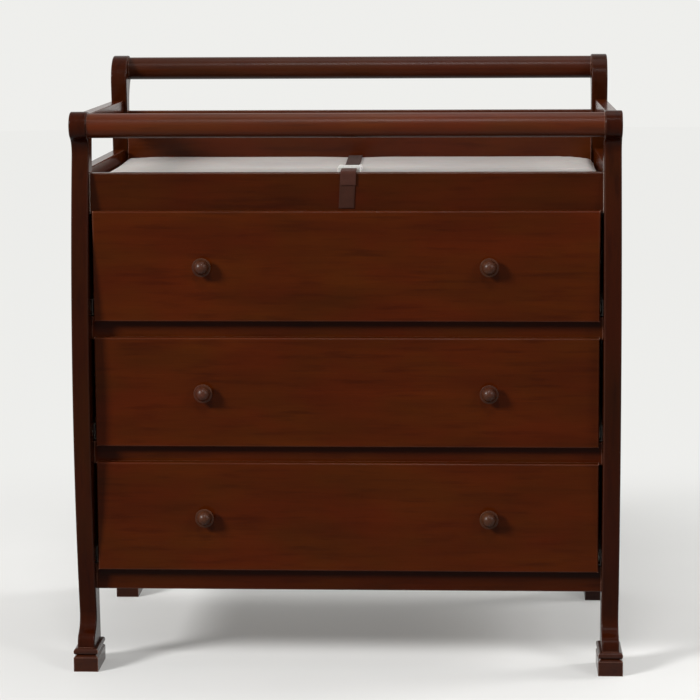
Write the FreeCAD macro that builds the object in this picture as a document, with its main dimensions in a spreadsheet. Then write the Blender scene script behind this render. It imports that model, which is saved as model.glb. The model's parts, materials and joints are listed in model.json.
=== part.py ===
import FreeCAD, Part
import math
import os
import Sketcher
from FreeCAD import Placement, Rotation, Vector

# A changing dresser of painted hardwood: a three-drawer cabinet between four
# bowed posts that end in round heads, under a railed tray that holds a padded
# mat with a safety strap.
#
# Frame: X to the right, Y to the back, Z up, in millimetres. The origin is on
# the floor, midway between the posts and midway between the feet front to back.
# The four posts share one outline, mirrored front to back, and differ only in
# the height of the head and in the sweep of the neck.

doc = FreeCAD.newDocument("changing_dresser")
sheet = doc.addObject("Spreadsheet::Sheet", "sizes")

# ---------------------------------------------------------------- driving sizes
SIZES = {
    # posts: outline in side view, setbacks measured from the foot's outer face
    "width_over_posts": 895,
    "depth_over_feet": 576,
    "post_thickness": 28.5,
    "bow_setback": 2,
    "bow_radius": 2120,
    "bow_height": 455,
    "waist_depth": 55,
    "inner_radius": 4400,
    "head_setback": 13,
    "head_radius": 23,
    "front_head_height": 903.5,
    "back_head_height": 976.6,
    "front_neck_radius": 25,
    "back_neck_radius": 60,
    "shoulder_radius": 8,
    "shoulder_drop": 4.5,
    "crown_radius": 45,
    "toe_setback": 5,
    "toe_radius": 21,
    "toe_height": 44,
    "instep_radius": 28,
    "heel_radius": 40,
    "post_easing": 2.6,
    # feet
    "foot_overhang": 6,
    "foot_depth": 82,
    "foot_block_height": 28,
    "foot_chamfer": 4.5,
    "moulding_height": 11,
    # cross rails, boards and panels
    "round_rail_diameter": 40,
    "side_board_thickness": 20,
    "side_board_reveal": 2,
    "side_rail_bottom": 879,
    "side_rail_top": 920,
    "side_panel_bottom": 131,
    "side_panel_top": 831,
    "rail_setback": 43,
    "rail_thickness": 16,
    "bottom_rail_bottom": 131,
    "apron_top": 826,
    "back_board_setback": 58,
    "back_board_thickness": 18,
    "back_board_bottom": 760,
    "back_board_top": 901.5,
    "back_rail_height": 40,
    "back_panel_thickness": 4,
    "back_panel_bottom": 140,
    "tray_floor_top": 793,
    "tray_floor_thickness": 12,
    "tray_groove_depth": 6,
    "board_easing": 1.5,
    # drawers
    "drawer_pitch": 208,
    "front_height": 181.5,
    "lowest_front_bottom": 167,
    "front_thickness": 16.5,
    "front_lap": 5.75,
    "front_side_gap": 5.5,
    "front_easing": 2.5,
    "box_side_gap": 14,
    "box_side_thickness": 12,
    "box_side_height": 130,
    "box_depth": 440,
    "box_bottom_thickness": 4,
    "box_bottom_raise": 10,
    "box_groove_depth": 5,
    # runners: a channel on the cabinet, a lipped angle on the drawer
    "channel_rise": 8,
    "channel_reach": 11.6,
    "channel_length": 438,
    "channel_setback": 47,
    "sheet_gauge": 1.2,
    "angle_rise": 4,
    "lip_gap": 1.8,
    "roller_diameter": 21.6,
    "roller_width": 8,
    "roller_inset": 16,
    "tail_roller_inset": 9.5,
    "axle_diameter": 5,
    "collar_diameter": 8,
    "collar_length": 1.1,
    "axle_head_height": 0.6,
    "batten_height": 34,
    "batten_inset": 14,
    # knobs
    "knob_spacing": 468,
    "knob_diameter": 30,
    "knob_projection": 25.5,
    "knob_neck_diameter": 15,
    "knob_neck_length": 4,
    "knob_rim_height": 11,
    "knob_rim_thickness": 2.5,
    "knob_dome_radius": 12.5,
    "knob_screw_diameter": 4,
    "knob_screw_bite": 14,
    "knob_screw_head_diameter": 9,
    "knob_screw_head_height": 2.4,
    # connector bolts
    "bolt_diameter": 6,
    "bolt_head_diameter": 12,
    "bolt_head_height": 4,
    "bolt_bite": 36,
    "bolt_socket": 3,
    "counterbore_depth": 5,
    "back_board_bolt_drop": 16.5,
    # pad, strap and buckle
    "pad_length": 846,
    "pad_depth": 428,
    "pad_thickness": 26,
    "pad_front_gap": 6.5,
    "pad_crown": 2,
    "pad_edge_radius": 11,
    "pad_corner_radius": 40,
    "pad_draw": 3,
    "strap_width": 25,
    "strap_gauge": 1.6,
    "strap_bend": 0.7,
    "strap_offset": 2,
    "strap_tail_end": 768,
    "strap_foot_height": 3,
    "strap_fold": 24,
    "strap_screw_height": 13,
    "strap_screw_diameter": 4,
    "strap_screw_head_diameter": 9,
    "strap_screw_head_height": 2,
    "strap_screw_length": 12,
    "buckle_reach": 51,
    "buckle_width": 38,
    "buckle_length": 79,
    "buckle_thickness": 8,
    "buckle_bar": 3,
    "buckle_bar_width": 4,
    "buckle_slot": 6,
    "buckle_wall": 2.4,
    "plug_shoulder": 16,
    "plug_arm": 26,
    # clearances
    "front_clearance": 0.5,
    "seat_gap": 0.3,
    "bolt_clearance": 0.15,
    "running_clearance": 0.08,
    "roller_gap": 0.3,
}

for row, (name, value) in enumerate(SIZES.items(), start=1):
    sheet.set(f"A{row}", name)
    sheet.set(f"B{row}", str(value))
    sheet.setAlias(f"B{row}", name)
doc.recompute()


def number(expression):
    """The value of an expression on the sheet, in millimetres."""
    return float(sheet.evalExpression(expression))


# ------------------------------------------------- planes worked out from them
HALF_DEPTH = "(sizes.depth_over_feet / 2)"
POST_OUTER = "(sizes.width_over_posts / 2)"
POST_INNER = "(sizes.width_over_posts / 2 - sizes.post_thickness)"
FOOT_OUTER = f"({POST_OUTER} + sizes.foot_overhang)"
FOOT_INNER = f"({POST_INNER} - sizes.foot_overhang)"
FOOT_TOP = "(sizes.foot_block_height + sizes.moulding_height)"
BOARD_OUTER = f"({POST_OUTER} - sizes.side_board_reveal)"
BOARD_INNER = f"({BOARD_OUTER} - sizes.side_board_thickness)"
RAIL_FACE = f"(sizes.rail_setback - {HALF_DEPTH})"
RAIL_BACK = f"({RAIL_FACE} + sizes.rail_thickness)"
BACK_BOARD_REAR = f"({HALF_DEPTH} - sizes.back_board_setback)"
BACK_BOARD_FACE = f"({BACK_BOARD_REAR} - sizes.back_board_thickness)"
INNER_CENTRE = "(sizes.bow_setback + sizes.waist_depth + sizes.inner_radius)"
ROUND_RAIL_Y = f"({HALF_DEPTH} - sizes.head_setback - sizes.head_radius)"
BATTEN_END = f"(-{RAIL_BACK} - sizes.batten_inset)"
TRAY_FLOOR_BOTTOM = "(sizes.tray_floor_top - sizes.tray_floor_thickness)"
APRON_BOTTOM = "(sizes.lowest_front_bottom + 2 * sizes.drawer_pitch + sizes.front_height - sizes.front_lap)"
FRONT_BACK = f"({RAIL_FACE} - sizes.front_clearance)"
FRONT_FACE = f"({FRONT_BACK} - sizes.front_thickness)"
FRONT_END = f"({POST_INNER} - sizes.front_side_gap)"
BOX_OUTER = f"({POST_INNER} - sizes.box_side_gap)"
BOX_INNER = f"({BOX_OUTER} - sizes.box_side_thickness)"
BOX_REAR = f"({FRONT_BACK} + sizes.box_depth)"
CHANNEL_FRONT = f"(sizes.channel_setback - {HALF_DEPTH})"
CHANNEL_ROOM = "(sizes.roller_diameter + sizes.sheet_gauge + 4 * sizes.roller_gap)"
CHANNEL_WEB = f"({POST_INNER} - sizes.sheet_gauge)"
CHANNEL_EDGE = f"({POST_INNER} - sizes.channel_reach)"
ANGLE_WEB = f"({BOX_OUTER} + sizes.sheet_gauge)"
ROLLER_OUTER = f"({CHANNEL_WEB} - sizes.collar_length - sizes.roller_gap)"
ROLLER_INNER = f"({ROLLER_OUTER} - sizes.roller_width)"
WEBBING_BOTTOM = "(sizes.tray_floor_top + sizes.pad_thickness + 2 * sizes.seat_gap)"
WEBBING_LIFT = "(sizes.strap_gauge + 2 * sizes.seat_gap + sizes.buckle_bar)"
BUCKLE_FRONT = f"({RAIL_BACK} + sizes.buckle_reach)"
BUCKLE_REAR = f"({BUCKLE_FRONT} + sizes.buckle_length)"
BUCKLE_MIDDLE = f"({WEBBING_BOTTOM} + sizes.buckle_thickness / 2)"
DRAWERS = ("1", "2", "3")
SIDES = {"left": -1, "right": 1}
ENDS = {"front": -1, "back": 1}

nodes = {}


def front_bottom(drawer):
    """Height of a drawer front's lower edge; drawer 1 is the top one."""
    steps = len(DRAWERS) - int(drawer)
    return f"(sizes.lowest_front_bottom + {steps} * sizes.drawer_pitch)"


# --------------------------------------------------------------- small helpers
def new_body(label):
    """An empty body whose label is the piece's name."""
    body = doc.addObject("PartDesign::Body", label)
    body.Label = label
    return body


def span(side, inner, outer):
    """Low and high planes of a piece between two distances from the middle."""
    if side > 0:
        return inner, outer
    return f"(-{outer})", f"(-{inner})"


def block(body, kind, x_span, y_span, z_span):
    """Add or cut a box between six planes given as expressions."""
    box = body.newObject(f"PartDesign::{kind}Box", f"{body.Label}_{kind}")
    for axis, side, (low, high) in zip("xyz", ("Length", "Width", "Height"), (x_span, y_span, z_span)):
        box.setExpression(side, f"{high} - {low}")
        box.setExpression(f"Placement.Base.{axis}", low)
    return box


AXIS_TURNS = {
    "x": Rotation(Vector(0, 1, 0), 90),
    "y": Rotation(Vector(1, 0, 0), -90),
    "z": Rotation(),
}


def round_bar(body, kind, axis, start, radius, length):
    """Add or cut a cylinder that runs from start towards +axis."""
    bar = body.newObject(f"PartDesign::{kind}Cylinder", f"{body.Label}_{kind}")
    bar.Placement = Placement(Vector(), AXIS_TURNS[axis])
    for name, plane in zip("xyz", start):
        bar.setExpression(f"Placement.Base.{name}", plane)
    bar.setExpression("Radius", radius)
    bar.setExpression("Height", length)
    return bar


def edges_where(shape, test):
    """Names of the edges whose middle point and direction pass a test."""
    names = []
    for index, edge in enumerate(shape.Edges, start=1):
        middle = edge.valueAt((edge.FirstParameter + edge.LastParameter) / 2)
        if test(edge, middle):
            names.append(f"Edge{index}")
    return names


def dress(body, kind, size_name, size, test):
    """Round (Fillet) or chamfer (Chamfer) the edges that pass a test."""
    doc.recompute()
    base = body.Tip
    feature = body.newObject(f"PartDesign::{kind}", f"{body.Label}_{kind}")
    feature.Base = (base, edges_where(base.Shape, test))
    feature.setExpression(size_name, size)
    return feature


def near(value, target):
    """True where two lengths agree to a hundredth of a millimetre."""
    return abs(value - target) < 0.01


def origin_plane(body, role):
    """One of the body's own base planes."""
    return next(item for item in body.Origin.OriginFeatures if item.Role == role)


def new_sketch(body, role, name):
    """A sketch lying on one of the body's own base planes."""
    sketch = body.newObject("Sketcher::SketchObject", f"{body.Label}_{name}")
    sketch.AttachmentSupport = [(origin_plane(body, role), "")]
    sketch.MapMode = "FlatFace"
    return sketch


class Outline:
    """A closed sketch outline of lines and arcs, drawn in order and tied to the sheet."""

    def __init__(self, sketch):
        self.sketch = sketch
        self.pieces = []

    def line(self, start, end):
        index = self.sketch.addGeometry(Part.LineSegment(Vector(*start, 0), Vector(*end, 0)), False)
        self.pieces.append((index, 1, 2))
        return index

    def arc(self, centre, radius, start, end, through=None):
        """The arc from start to end about centre: through a point, or else the shorter one."""
        first = math.atan2(start[1] - centre[1], start[0] - centre[0])
        last = math.atan2(end[1] - centre[1], end[0] - centre[0])
        turn = (last - first) % (2 * math.pi)
        leftwards = turn < math.pi
        if through is not None:
            passing = math.atan2(through[1] - centre[1], through[0] - centre[0])
            leftwards = (passing - first) % (2 * math.pi) < turn
        circle = Part.Circle(Vector(*centre, 0), Vector(0, 0, 1), radius)
        if leftwards:
            index = self.sketch.addGeometry(Part.ArcOfCircle(circle, first, first + turn), False)
            self.pieces.append((index, 1, 2))
        else:
            back = (first - last) % (2 * math.pi)
            index = self.sketch.addGeometry(Part.ArcOfCircle(circle, last, last + back), False)
            self.pieces.append((index, 2, 1))
        return index

    def join(self, smooth):
        """Join each piece to the next, tangent where smooth says so."""
        count = len(self.pieces)
        for place, is_smooth in enumerate(smooth):
            piece, _, end = self.pieces[place]
            follower, start, _ = self.pieces[(place + 1) % count]
            kind = "Tangent" if is_smooth else "Coincident"
            self.sketch.addConstraint(Sketcher.Constraint(kind, piece, end, follower, start))

    def size(self, constraint, name, expression):
        """Add a dimension and bind it to the sheet."""
        index = self.sketch.addConstraint(constraint)
        self.sketch.renameConstraint(index, name)
        self.sketch.setExpression(f"Constraints.{name}", expression)

    def radius(self, piece, name, expression):
        self.size(Sketcher.Constraint("Radius", piece, number(expression)), name, expression)

    def place(self, piece, point, name, across, up):
        """Fix a point's distances from the sketch's origin, each with its own sign."""
        for axis, expression in (("X", across), ("Y", up)):
            value = number(expression)
            text = expression
            ends = (-1, 1, piece, point)
            if value < 0:
                text = f"-({expression})"
                ends = (piece, point, -1, 1)
            self.size(Sketcher.Constraint(f"Distance{axis}", *ends, abs(value)), f"{name}{axis}", text)


def crossing(centre_a, reach_a, centre_b, reach_b, above, side):
    """Point at two given distances from two centres, on the chosen side in height."""
    gap_x = centre_b[0] - centre_a[0]
    gap_y = centre_b[1] - centre_a[1]
    gap = math.hypot(gap_x, gap_y)
    along = (reach_a ** 2 - reach_b ** 2 + gap ** 2) / (2 * gap)
    off = math.sqrt(reach_a ** 2 - along ** 2)
    foot = (centre_a[0] + along * gap_x / gap, centre_a[1] + along * gap_y / gap)
    found = [(foot[0] - sign * off * gap_y / gap, foot[1] + sign * off * gap_x / gap) for sign in (1, -1)]
    found.sort(key=lambda point: point[1])
    return found[1 if above else 0]


def towards(centre, radius, target):
    """Point on a circle in the direction of a target."""
    span_x = target[0] - centre[0]
    span_y = target[1] - centre[1]
    reach = math.hypot(span_x, span_y)
    return (centre[0] + radius * span_x / reach, centre[1] + radius * span_y / reach)


def draw(sketch, corners):
    """Draw a closed outline whose corners are expressions on the sheet.

    Each corner is (across, up, radius, side): radius is None for a straight run
    to the next corner, or the arc's radius with its centre on the left (1) or
    the right (-1) of that run.
    """
    outline = Outline(sketch)
    points = [(number(across), number(up)) for across, up, _, _ in corners]
    for place, (_, _, radius, side) in enumerate(corners):
        start = points[place]
        end = points[(place + 1) % len(points)]
        if radius is None:
            outline.line(start, end)
            continue
        reach = number(radius)
        chord = math.dist(start, end)
        rise = math.sqrt(reach ** 2 - chord ** 2 / 4)
        normal = (-(end[1] - start[1]) / chord, (end[0] - start[0]) / chord)
        centre = [(start[axis] + end[axis]) / 2 + side * rise * normal[axis] for axis in (0, 1)]
        outline.arc(centre, reach, start, end)
    outline.join([False] * len(corners))
    for place, (across, up, radius, _) in enumerate(corners):
        piece, start, _ = outline.pieces[place]
        outline.place(piece, start, f"corner_{place}_", across, up)
        if radius is not None:
            outline.radius(piece, f"radius_{place}", radius)


def pad_out(body, sketch, length):
    """Thicken a sketch along its own normal."""
    feature = body.newObject("PartDesign::Pad", f"{body.Label}_thickness")
    feature.Profile = sketch
    feature.setExpression("Length", length)
    sketch.Visibility = False
    return feature


def group(label, bodies):
    """One node made of several identical bodies."""
    compound = doc.addObject("Part::Compound", label)
    compound.Label = label
    compound.Links = bodies
    nodes[label] = compound
    return compound


def board(label, x_span, y_span, z_span, easing=None):
    """A plain board; easing rounds the edges that run along its length."""
    body = new_body(label)
    block(body, "Additive", x_span, y_span, z_span)
    if easing:
        low = number(x_span[0])
        high = number(x_span[1])
        dress(body, "Fillet", "Radius", easing, lambda edge, middle: low + 1 < middle.x < high - 1)
    nodes[label] = body
    return body


def bolt_bores(body, places):
    """Bores in both ends of a cross rail for the bolts through the posts."""
    for across, up in places:
        for side in SIDES.values():
            low, high = span(side, f"({POST_INNER} - sizes.bolt_bite - 1)", POST_INNER)
            start = (low, across, up)
            radius = "sizes.bolt_diameter / 2 + sizes.bolt_clearance"
            round_bar(body, "Subtractive", "x", start, radius, f"{high} - {low}")


# ----------------------------------------------------------------------- posts
def post_outline(sketch, end):
    """Side view of a post: toe, bow, neck and head in front, a hollow behind."""
    sign = ENDS[end]
    half = number(HALF_DEPTH)
    get = {name: float(doc.sizes.get(name)) for name in SIZES}
    head_height = get[f"{end}_head_height"]
    neck_radius = get[f"{end}_neck_radius"]
    floor = number(FOOT_TOP)
    bow = (get["bow_setback"] + get["bow_radius"], get["bow_height"])
    inner = (get["bow_setback"] + get["waist_depth"] + get["inner_radius"], get["bow_height"])
    head = (get["head_setback"] + get["head_radius"], head_height)
    toe = (get["toe_setback"] + get["toe_radius"], get["toe_height"])
    neck = crossing(
        head, get["head_radius"] + neck_radius, bow, get["bow_radius"] + neck_radius, False, 1
    )
    instep = crossing(
        toe, get["toe_radius"] + get["instep_radius"], bow, get["bow_radius"] + get["instep_radius"], True, 1
    )
    brow = (get["head_setback"], head_height)
    toe_point = (get["toe_setback"], get["toe_height"])
    toe_foot = (get["toe_setback"], floor)
    toe_joint = towards(toe, get["toe_radius"], instep)
    instep_joint = towards(bow, get["bow_radius"], instep)
    neck_joint = towards(bow, get["bow_radius"], neck)
    head_joint = towards(head, get["head_radius"], neck)
    reach = get["inner_radius"] + get["heel_radius"]
    heel = (inner[0] - math.sqrt(reach ** 2 - (toe[1] - inner[1]) ** 2), toe[1])
    heel_joint = towards(heel, get["heel_radius"], inner)
    heel_point = (heel[0] + get["heel_radius"], heel[1])
    heel_foot = (heel_point[0], floor)

    def world(point):
        """Setback and height to the sketch's own coordinates."""
        return (sign * (half - point[0]), point[1])

    outline = Outline(sketch)
    outline.line(world(toe_foot), world(toe_point))
    toe_arc = outline.arc(world(toe), get["toe_radius"], world(toe_point), world(toe_joint))
    instep_arc = outline.arc(world(instep), get["instep_radius"], world(toe_joint), world(instep_joint))
    bow_arc = outline.arc(world(bow), get["bow_radius"], world(instep_joint), world(neck_joint))
    neck_arc = outline.arc(world(neck), neck_radius, world(neck_joint), world(head_joint))
    if end == "front":
        small = get["shoulder_radius"]
        height = head_height + get["head_radius"] - get["shoulder_drop"] - small
        reach = get["inner_radius"] + small
        shoulder = (inner[0] - math.sqrt(reach ** 2 - (height - inner[1]) ** 2), height)
        gap = math.dist(head, shoulder)
        lean = math.atan2(shoulder[1] - head[1], shoulder[0] - head[0])
        lean += math.acos((get["head_radius"] - small) / gap)
        normal = (math.cos(lean), math.sin(lean))
        head_end = tuple(head[axis] + get["head_radius"] * normal[axis] for axis in (0, 1))
        line_end = tuple(shoulder[axis] + small * normal[axis] for axis in (0, 1))
        inner_start = towards(shoulder, small, inner)
        head_arc = outline.arc(
            world(head), get["head_radius"], world(head_joint), world(head_end), world(brow)
        )
        outline.line(world(head_end), world(line_end))
        top_arc = outline.arc(world(shoulder), small, world(line_end), world(inner_start))
        top_radius = "sizes.shoulder_radius"
    else:
        large = get["crown_radius"]
        crown = crossing(
            head, large - get["head_radius"], inner, get["inner_radius"] + large, False, 1
        )
        head_end = towards(crown, large, head)
        inner_start = towards(crown, large, inner)
        head_arc = outline.arc(
            world(head), get["head_radius"], world(head_joint), world(head_end), world(brow)
        )
        top_arc = outline.arc(world(crown), large, world(head_end), world(inner_start))
        top_radius = "sizes.crown_radius"
    inner_arc = outline.arc(world(inner), get["inner_radius"], world(inner_start), world(heel_joint))
    heel_arc = outline.arc(world(heel), get["heel_radius"], world(heel_joint), world(heel_point))
    heel_line = outline.line(world(heel_point), world(heel_foot))
    outline.line(world(heel_foot), world(toe_foot))
    smooth = [True] * len(outline.pieces)
    smooth[-2:] = [False, False]
    outline.join(smooth)

    outline.radius(toe_arc, "toe_radius", "sizes.toe_radius")
    outline.radius(instep_arc, "instep_radius", "sizes.instep_radius")
    outline.radius(bow_arc, "bow_radius", "sizes.bow_radius")
    outline.radius(neck_arc, "neck_radius", f"sizes.{end}_neck_radius")
    outline.radius(head_arc, "head_radius", "sizes.head_radius")
    outline.radius(top_arc, "top_radius", top_radius)
    outline.radius(inner_arc, "inner_radius", "sizes.inner_radius")
    outline.radius(heel_arc, "heel_radius", "sizes.heel_radius")
    sketch.addConstraint(Sketcher.Constraint("Vertical", heel_line))
    outline.size(
        Sketcher.Constraint("DistanceY", -1, 1, heel_arc, 3, toe[1]), "heel_height", "sizes.toe_height"
    )
    centres = (
        (toe_arc, "toe", "sizes.toe_setback + sizes.toe_radius", "sizes.toe_height"),
        (bow_arc, "bow", "sizes.bow_setback + sizes.bow_radius", "sizes.bow_height"),
        (head_arc, "head", "sizes.head_setback + sizes.head_radius", f"sizes.{end}_head_height"),
        (inner_arc, "inner", INNER_CENTRE, "sizes.bow_height"),
    )
    for piece, name, setback, height in centres:
        outline.place(piece, 3, name, f"{sign} * ({HALF_DEPTH} - ({setback}))", height)
    if end == "front":
        height = (
            "(sizes.front_head_height + sizes.head_radius"
            " - sizes.shoulder_drop - sizes.shoulder_radius)"
        )
        outline.size(
            Sketcher.Constraint("DistanceY", -1, 1, top_arc, 3, number(height)), "shoulder_height", height
        )
    first, start, _ = outline.pieces[0]
    outline.place(first, start, "toe_foot", f"{sign} * ({HALF_DEPTH} - sizes.toe_setback)", FOOT_TOP)
    last, start, _ = outline.pieces[-1]
    outline.size(Sketcher.Constraint("DistanceY", -1, 1, last, start, floor), "foot_height", FOOT_TOP)


def inner_edge(height, gap="0"):
    """Distance from the middle plane to a post's inner edge at a height."""
    reach = f"(sizes.inner_radius - {gap})"
    rise = f"({height} - sizes.bow_height)"
    return f"({HALF_DEPTH} - {INNER_CENTRE} + sqrt({reach} * {reach} - {rise} * {rise}))"


RAIL_MIDDLE = f"({RAIL_FACE} + sizes.rail_thickness / 2)"
BACK_BOARD_MIDDLE = f"({BACK_BOARD_REAR} - sizes.back_board_thickness / 2)"
BACK_BOLT_HEIGHT = "(sizes.back_board_top - sizes.back_board_bolt_drop)"
BOTTOM_RAIL_TOP = "(sizes.lowest_front_bottom + sizes.front_lap)"


def divider_span(drawer):
    """Lower and upper edges of the rail above a drawer."""
    low = f"({front_bottom(drawer)} + sizes.front_height - sizes.front_lap)"
    high = f"({front_bottom(drawer)} + sizes.drawer_pitch + sizes.front_lap)"
    return low, high


def middle_of(z_span):
    """Middle of a span."""
    return f"(({z_span[0]} + {z_span[1]}) / 2)"


BOLTS = {
    "front": {
        "front_top_rail": (f"(-{ROUND_RAIL_Y})", "sizes.front_head_height"),
        "tray_apron": (RAIL_MIDDLE, middle_of((APRON_BOTTOM, "sizes.apron_top"))),
        "divider_rail_upper": (RAIL_MIDDLE, middle_of(divider_span("2"))),
        "divider_rail_lower": (RAIL_MIDDLE, middle_of(divider_span("3"))),
        "bottom_rail_front": (RAIL_MIDDLE, middle_of(("sizes.bottom_rail_bottom", BOTTOM_RAIL_TOP))),
    },
    "back": {
        "back_top_rail": (ROUND_RAIL_Y, "sizes.back_head_height"),
        "tray_back_board": (BACK_BOARD_MIDDLE, BACK_BOLT_HEIGHT),
        "bottom_rail_back": (f"(-{RAIL_MIDDLE})", "(sizes.bottom_rail_bottom + sizes.back_rail_height / 2)"),
    },
}


def post(end, side_name):
    """A bowed post with bores and counterbores for its bolts."""
    side = SIDES[side_name]
    body = new_body(f"post_{end}_{side_name}")
    low, high = span(side, POST_INNER, POST_OUTER)
    sketch = new_sketch(body, "YZ_Plane", "outline")
    sketch.setExpression("AttachmentOffset.Base.z", low)
    post_outline(sketch, end)
    pad_out(body, sketch, "sizes.post_thickness")
    bottom = number(FOOT_TOP)
    faces = (number(low), number(high))
    dress(
        body, "Fillet", "Radius", "sizes.post_easing",
        lambda edge, middle: middle.z > bottom + 1 and any(near(middle.x, face) for face in faces),
    )
    sunk_low, sunk_high = span(side, f"({POST_OUTER} - sizes.counterbore_depth)", POST_OUTER)
    for across, up in BOLTS[end].values():
        shank = "sizes.bolt_diameter / 2 + sizes.bolt_clearance"
        round_bar(body, "Subtractive", "x", (low, across, up), shank, f"{high} - {low}")
        head = "sizes.bolt_head_diameter / 2 + sizes.bolt_clearance"
        round_bar(body, "Subtractive", "x", (sunk_low, across, up), head, f"{sunk_high} - {sunk_low}")
    nodes[body.Label] = body


for end in ENDS:
    for side_name in SIDES:
        post(end, side_name)

# ------------------------------------------------------------------------ feet
foot_blocks = []
foot_mouldings = []
for end, end_sign in ENDS.items():
    for side_name, side in SIDES.items():
        x_span = span(side, FOOT_INNER, FOOT_OUTER)
        y_span = span(end_sign, f"({HALF_DEPTH} - sizes.foot_depth)", HALF_DEPTH)
        foot = new_body(f"foot_block_{end}_{side_name}")
        block(foot, "Additive", x_span, y_span, ("0", "sizes.foot_block_height"))
        top = number("sizes.foot_block_height")
        dress(foot, "Chamfer", "Size", "sizes.foot_chamfer", lambda edge, middle: near(middle.z, top))
        foot_blocks.append(foot)
        moulding = new_body(f"foot_moulding_{end}_{side_name}")
        block(moulding, "Additive", x_span, y_span, ("sizes.foot_block_height", FOOT_TOP))
        levels = (number("sizes.foot_block_height"), number(FOOT_TOP))
        dress(
            moulding, "Fillet", "Radius", "sizes.moulding_height / 2 - 0.5",
            lambda edge, middle: any(near(middle.z, level) for level in levels),
        )
        foot_mouldings.append(moulding)
group("foot_blocks", foot_blocks)
group("foot_mouldings", foot_mouldings)

# ----------------------------------------------------------------- cross rails
BETWEEN_POSTS = (f"(-{POST_INNER})", POST_INNER)
for label, end in (("front_top_rail", "front"), ("back_top_rail", "back")):
    rail = new_body(label)
    centre = BOLTS[end][label]
    start = (BETWEEN_POSTS[0], centre[0], centre[1])
    round_bar(rail, "Additive", "x", start, "sizes.round_rail_diameter / 2", f"2 * {POST_INNER}")
    bolt_bores(rail, [centre])
    nodes[label] = rail

FRONT_PLANES = (RAIL_FACE, RAIL_BACK)
apron = board(
    "tray_apron", BETWEEN_POSTS, FRONT_PLANES, (APRON_BOTTOM, "sizes.apron_top"), "sizes.board_easing"
)
bolt_bores(apron, [BOLTS["front"]["tray_apron"]])
bottom_front = board(
    "bottom_rail_front", BETWEEN_POSTS, FRONT_PLANES, ("sizes.bottom_rail_bottom", BOTTOM_RAIL_TOP),
    "sizes.board_easing",
)
bolt_bores(bottom_front, [BOLTS["front"]["bottom_rail_front"]])
dividers = []
for name, drawer in (("upper", "2"), ("lower", "3")):
    divider = board(
        f"divider_rail_{name}", BETWEEN_POSTS, FRONT_PLANES, divider_span(drawer), "sizes.board_easing"
    )
    bolt_bores(divider, [BOLTS["front"][f"divider_rail_{name}"]])
    del nodes[divider.Label]
    dividers.append(divider)
group("divider_rails", dividers)

bottom_back = board(
    "bottom_rail_back", BETWEEN_POSTS, (f"(-{RAIL_BACK})", f"(-{RAIL_FACE})"),
    ("sizes.bottom_rail_bottom", "(sizes.bottom_rail_bottom + sizes.back_rail_height)"),
    "sizes.board_easing",
)
bolt_bores(bottom_back, [BOLTS["back"]["bottom_rail_back"]])
back_board = board(
    "tray_back_board", BETWEEN_POSTS, (BACK_BOARD_FACE, BACK_BOARD_REAR),
    ("sizes.back_board_bottom", "sizes.back_board_top"), "sizes.board_easing",
)
bolt_bores(back_board, [BOLTS["back"]["tray_back_board"]])
PANEL_END = f"({POST_INNER} - sizes.seat_gap)"
board(
    "back_panel", (f"(-{PANEL_END})", PANEL_END),
    (f"(-{RAIL_BACK} - sizes.back_panel_thickness)", f"(-{RAIL_BACK})"),
    ("sizes.back_panel_bottom", "sizes.back_board_bottom"),
)


# ------------------------------------------------------- side rails and panels
def side_board(label, side_name, bottom, top):
    """A board between a front and a back post, its ends following their hollow."""
    body = new_body(label)
    low, high = span(SIDES[side_name], BOARD_INNER, BOARD_OUTER)
    sketch = new_sketch(body, "YZ_Plane", "outline")
    sketch.setExpression("AttachmentOffset.Base.z", low)
    bottom_y = inner_edge(bottom, "sizes.seat_gap")
    top_y = inner_edge(top, "sizes.seat_gap")
    reach = "(sizes.inner_radius - sizes.seat_gap)"
    draw(sketch, [
        (f"(-{bottom_y})", bottom, None, 0),
        (bottom_y, bottom, reach, 1),
        (top_y, top, None, 0),
        (f"(-{top_y})", top, reach, 1),
    ])
    pad_out(body, sketch, "sizes.side_board_thickness")
    levels = (number(bottom), number(top))
    dress(
        body, "Fillet", "Radius", "sizes.board_easing",
        lambda edge, middle: abs(middle.y) < 1 and any(near(middle.z, level) for level in levels),
    )
    nodes[label] = body
    return body


for side_name, side in SIDES.items():
    side_board(f"side_top_rail_{side_name}", side_name, "sizes.side_rail_bottom", "sizes.side_rail_top")
    panel = side_board(
        f"side_panel_{side_name}", side_name, "sizes.side_panel_bottom", "sizes.side_panel_top"
    )
    groove_x = span(side, BOARD_INNER, f"({BOARD_INNER} + sizes.tray_groove_depth)")
    groove_y = (f"(-{BACK_BOARD_FACE} - sizes.seat_gap)", f"({BACK_BOARD_FACE} + sizes.seat_gap)")
    block(panel, "Subtractive", groove_x, groove_y, (TRAY_FLOOR_BOTTOM, "sizes.tray_floor_top"))

tray_floor = new_body("tray_floor")
FLOOR_LEVELS = (TRAY_FLOOR_BOTTOM, "sizes.tray_floor_top")
block(tray_floor, "Additive", (f"(-{PANEL_END})", PANEL_END), (RAIL_BACK, BACK_BOARD_FACE), FLOOR_LEVELS)
WING_END = f"({BOARD_INNER} + sizes.tray_groove_depth - sizes.seat_gap)"
block(
    tray_floor, "Additive", (f"(-{WING_END})", WING_END),
    (f"(-{BACK_BOARD_FACE})", BACK_BOARD_FACE), FLOOR_LEVELS,
)
nodes["tray_floor"] = tray_floor

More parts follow.
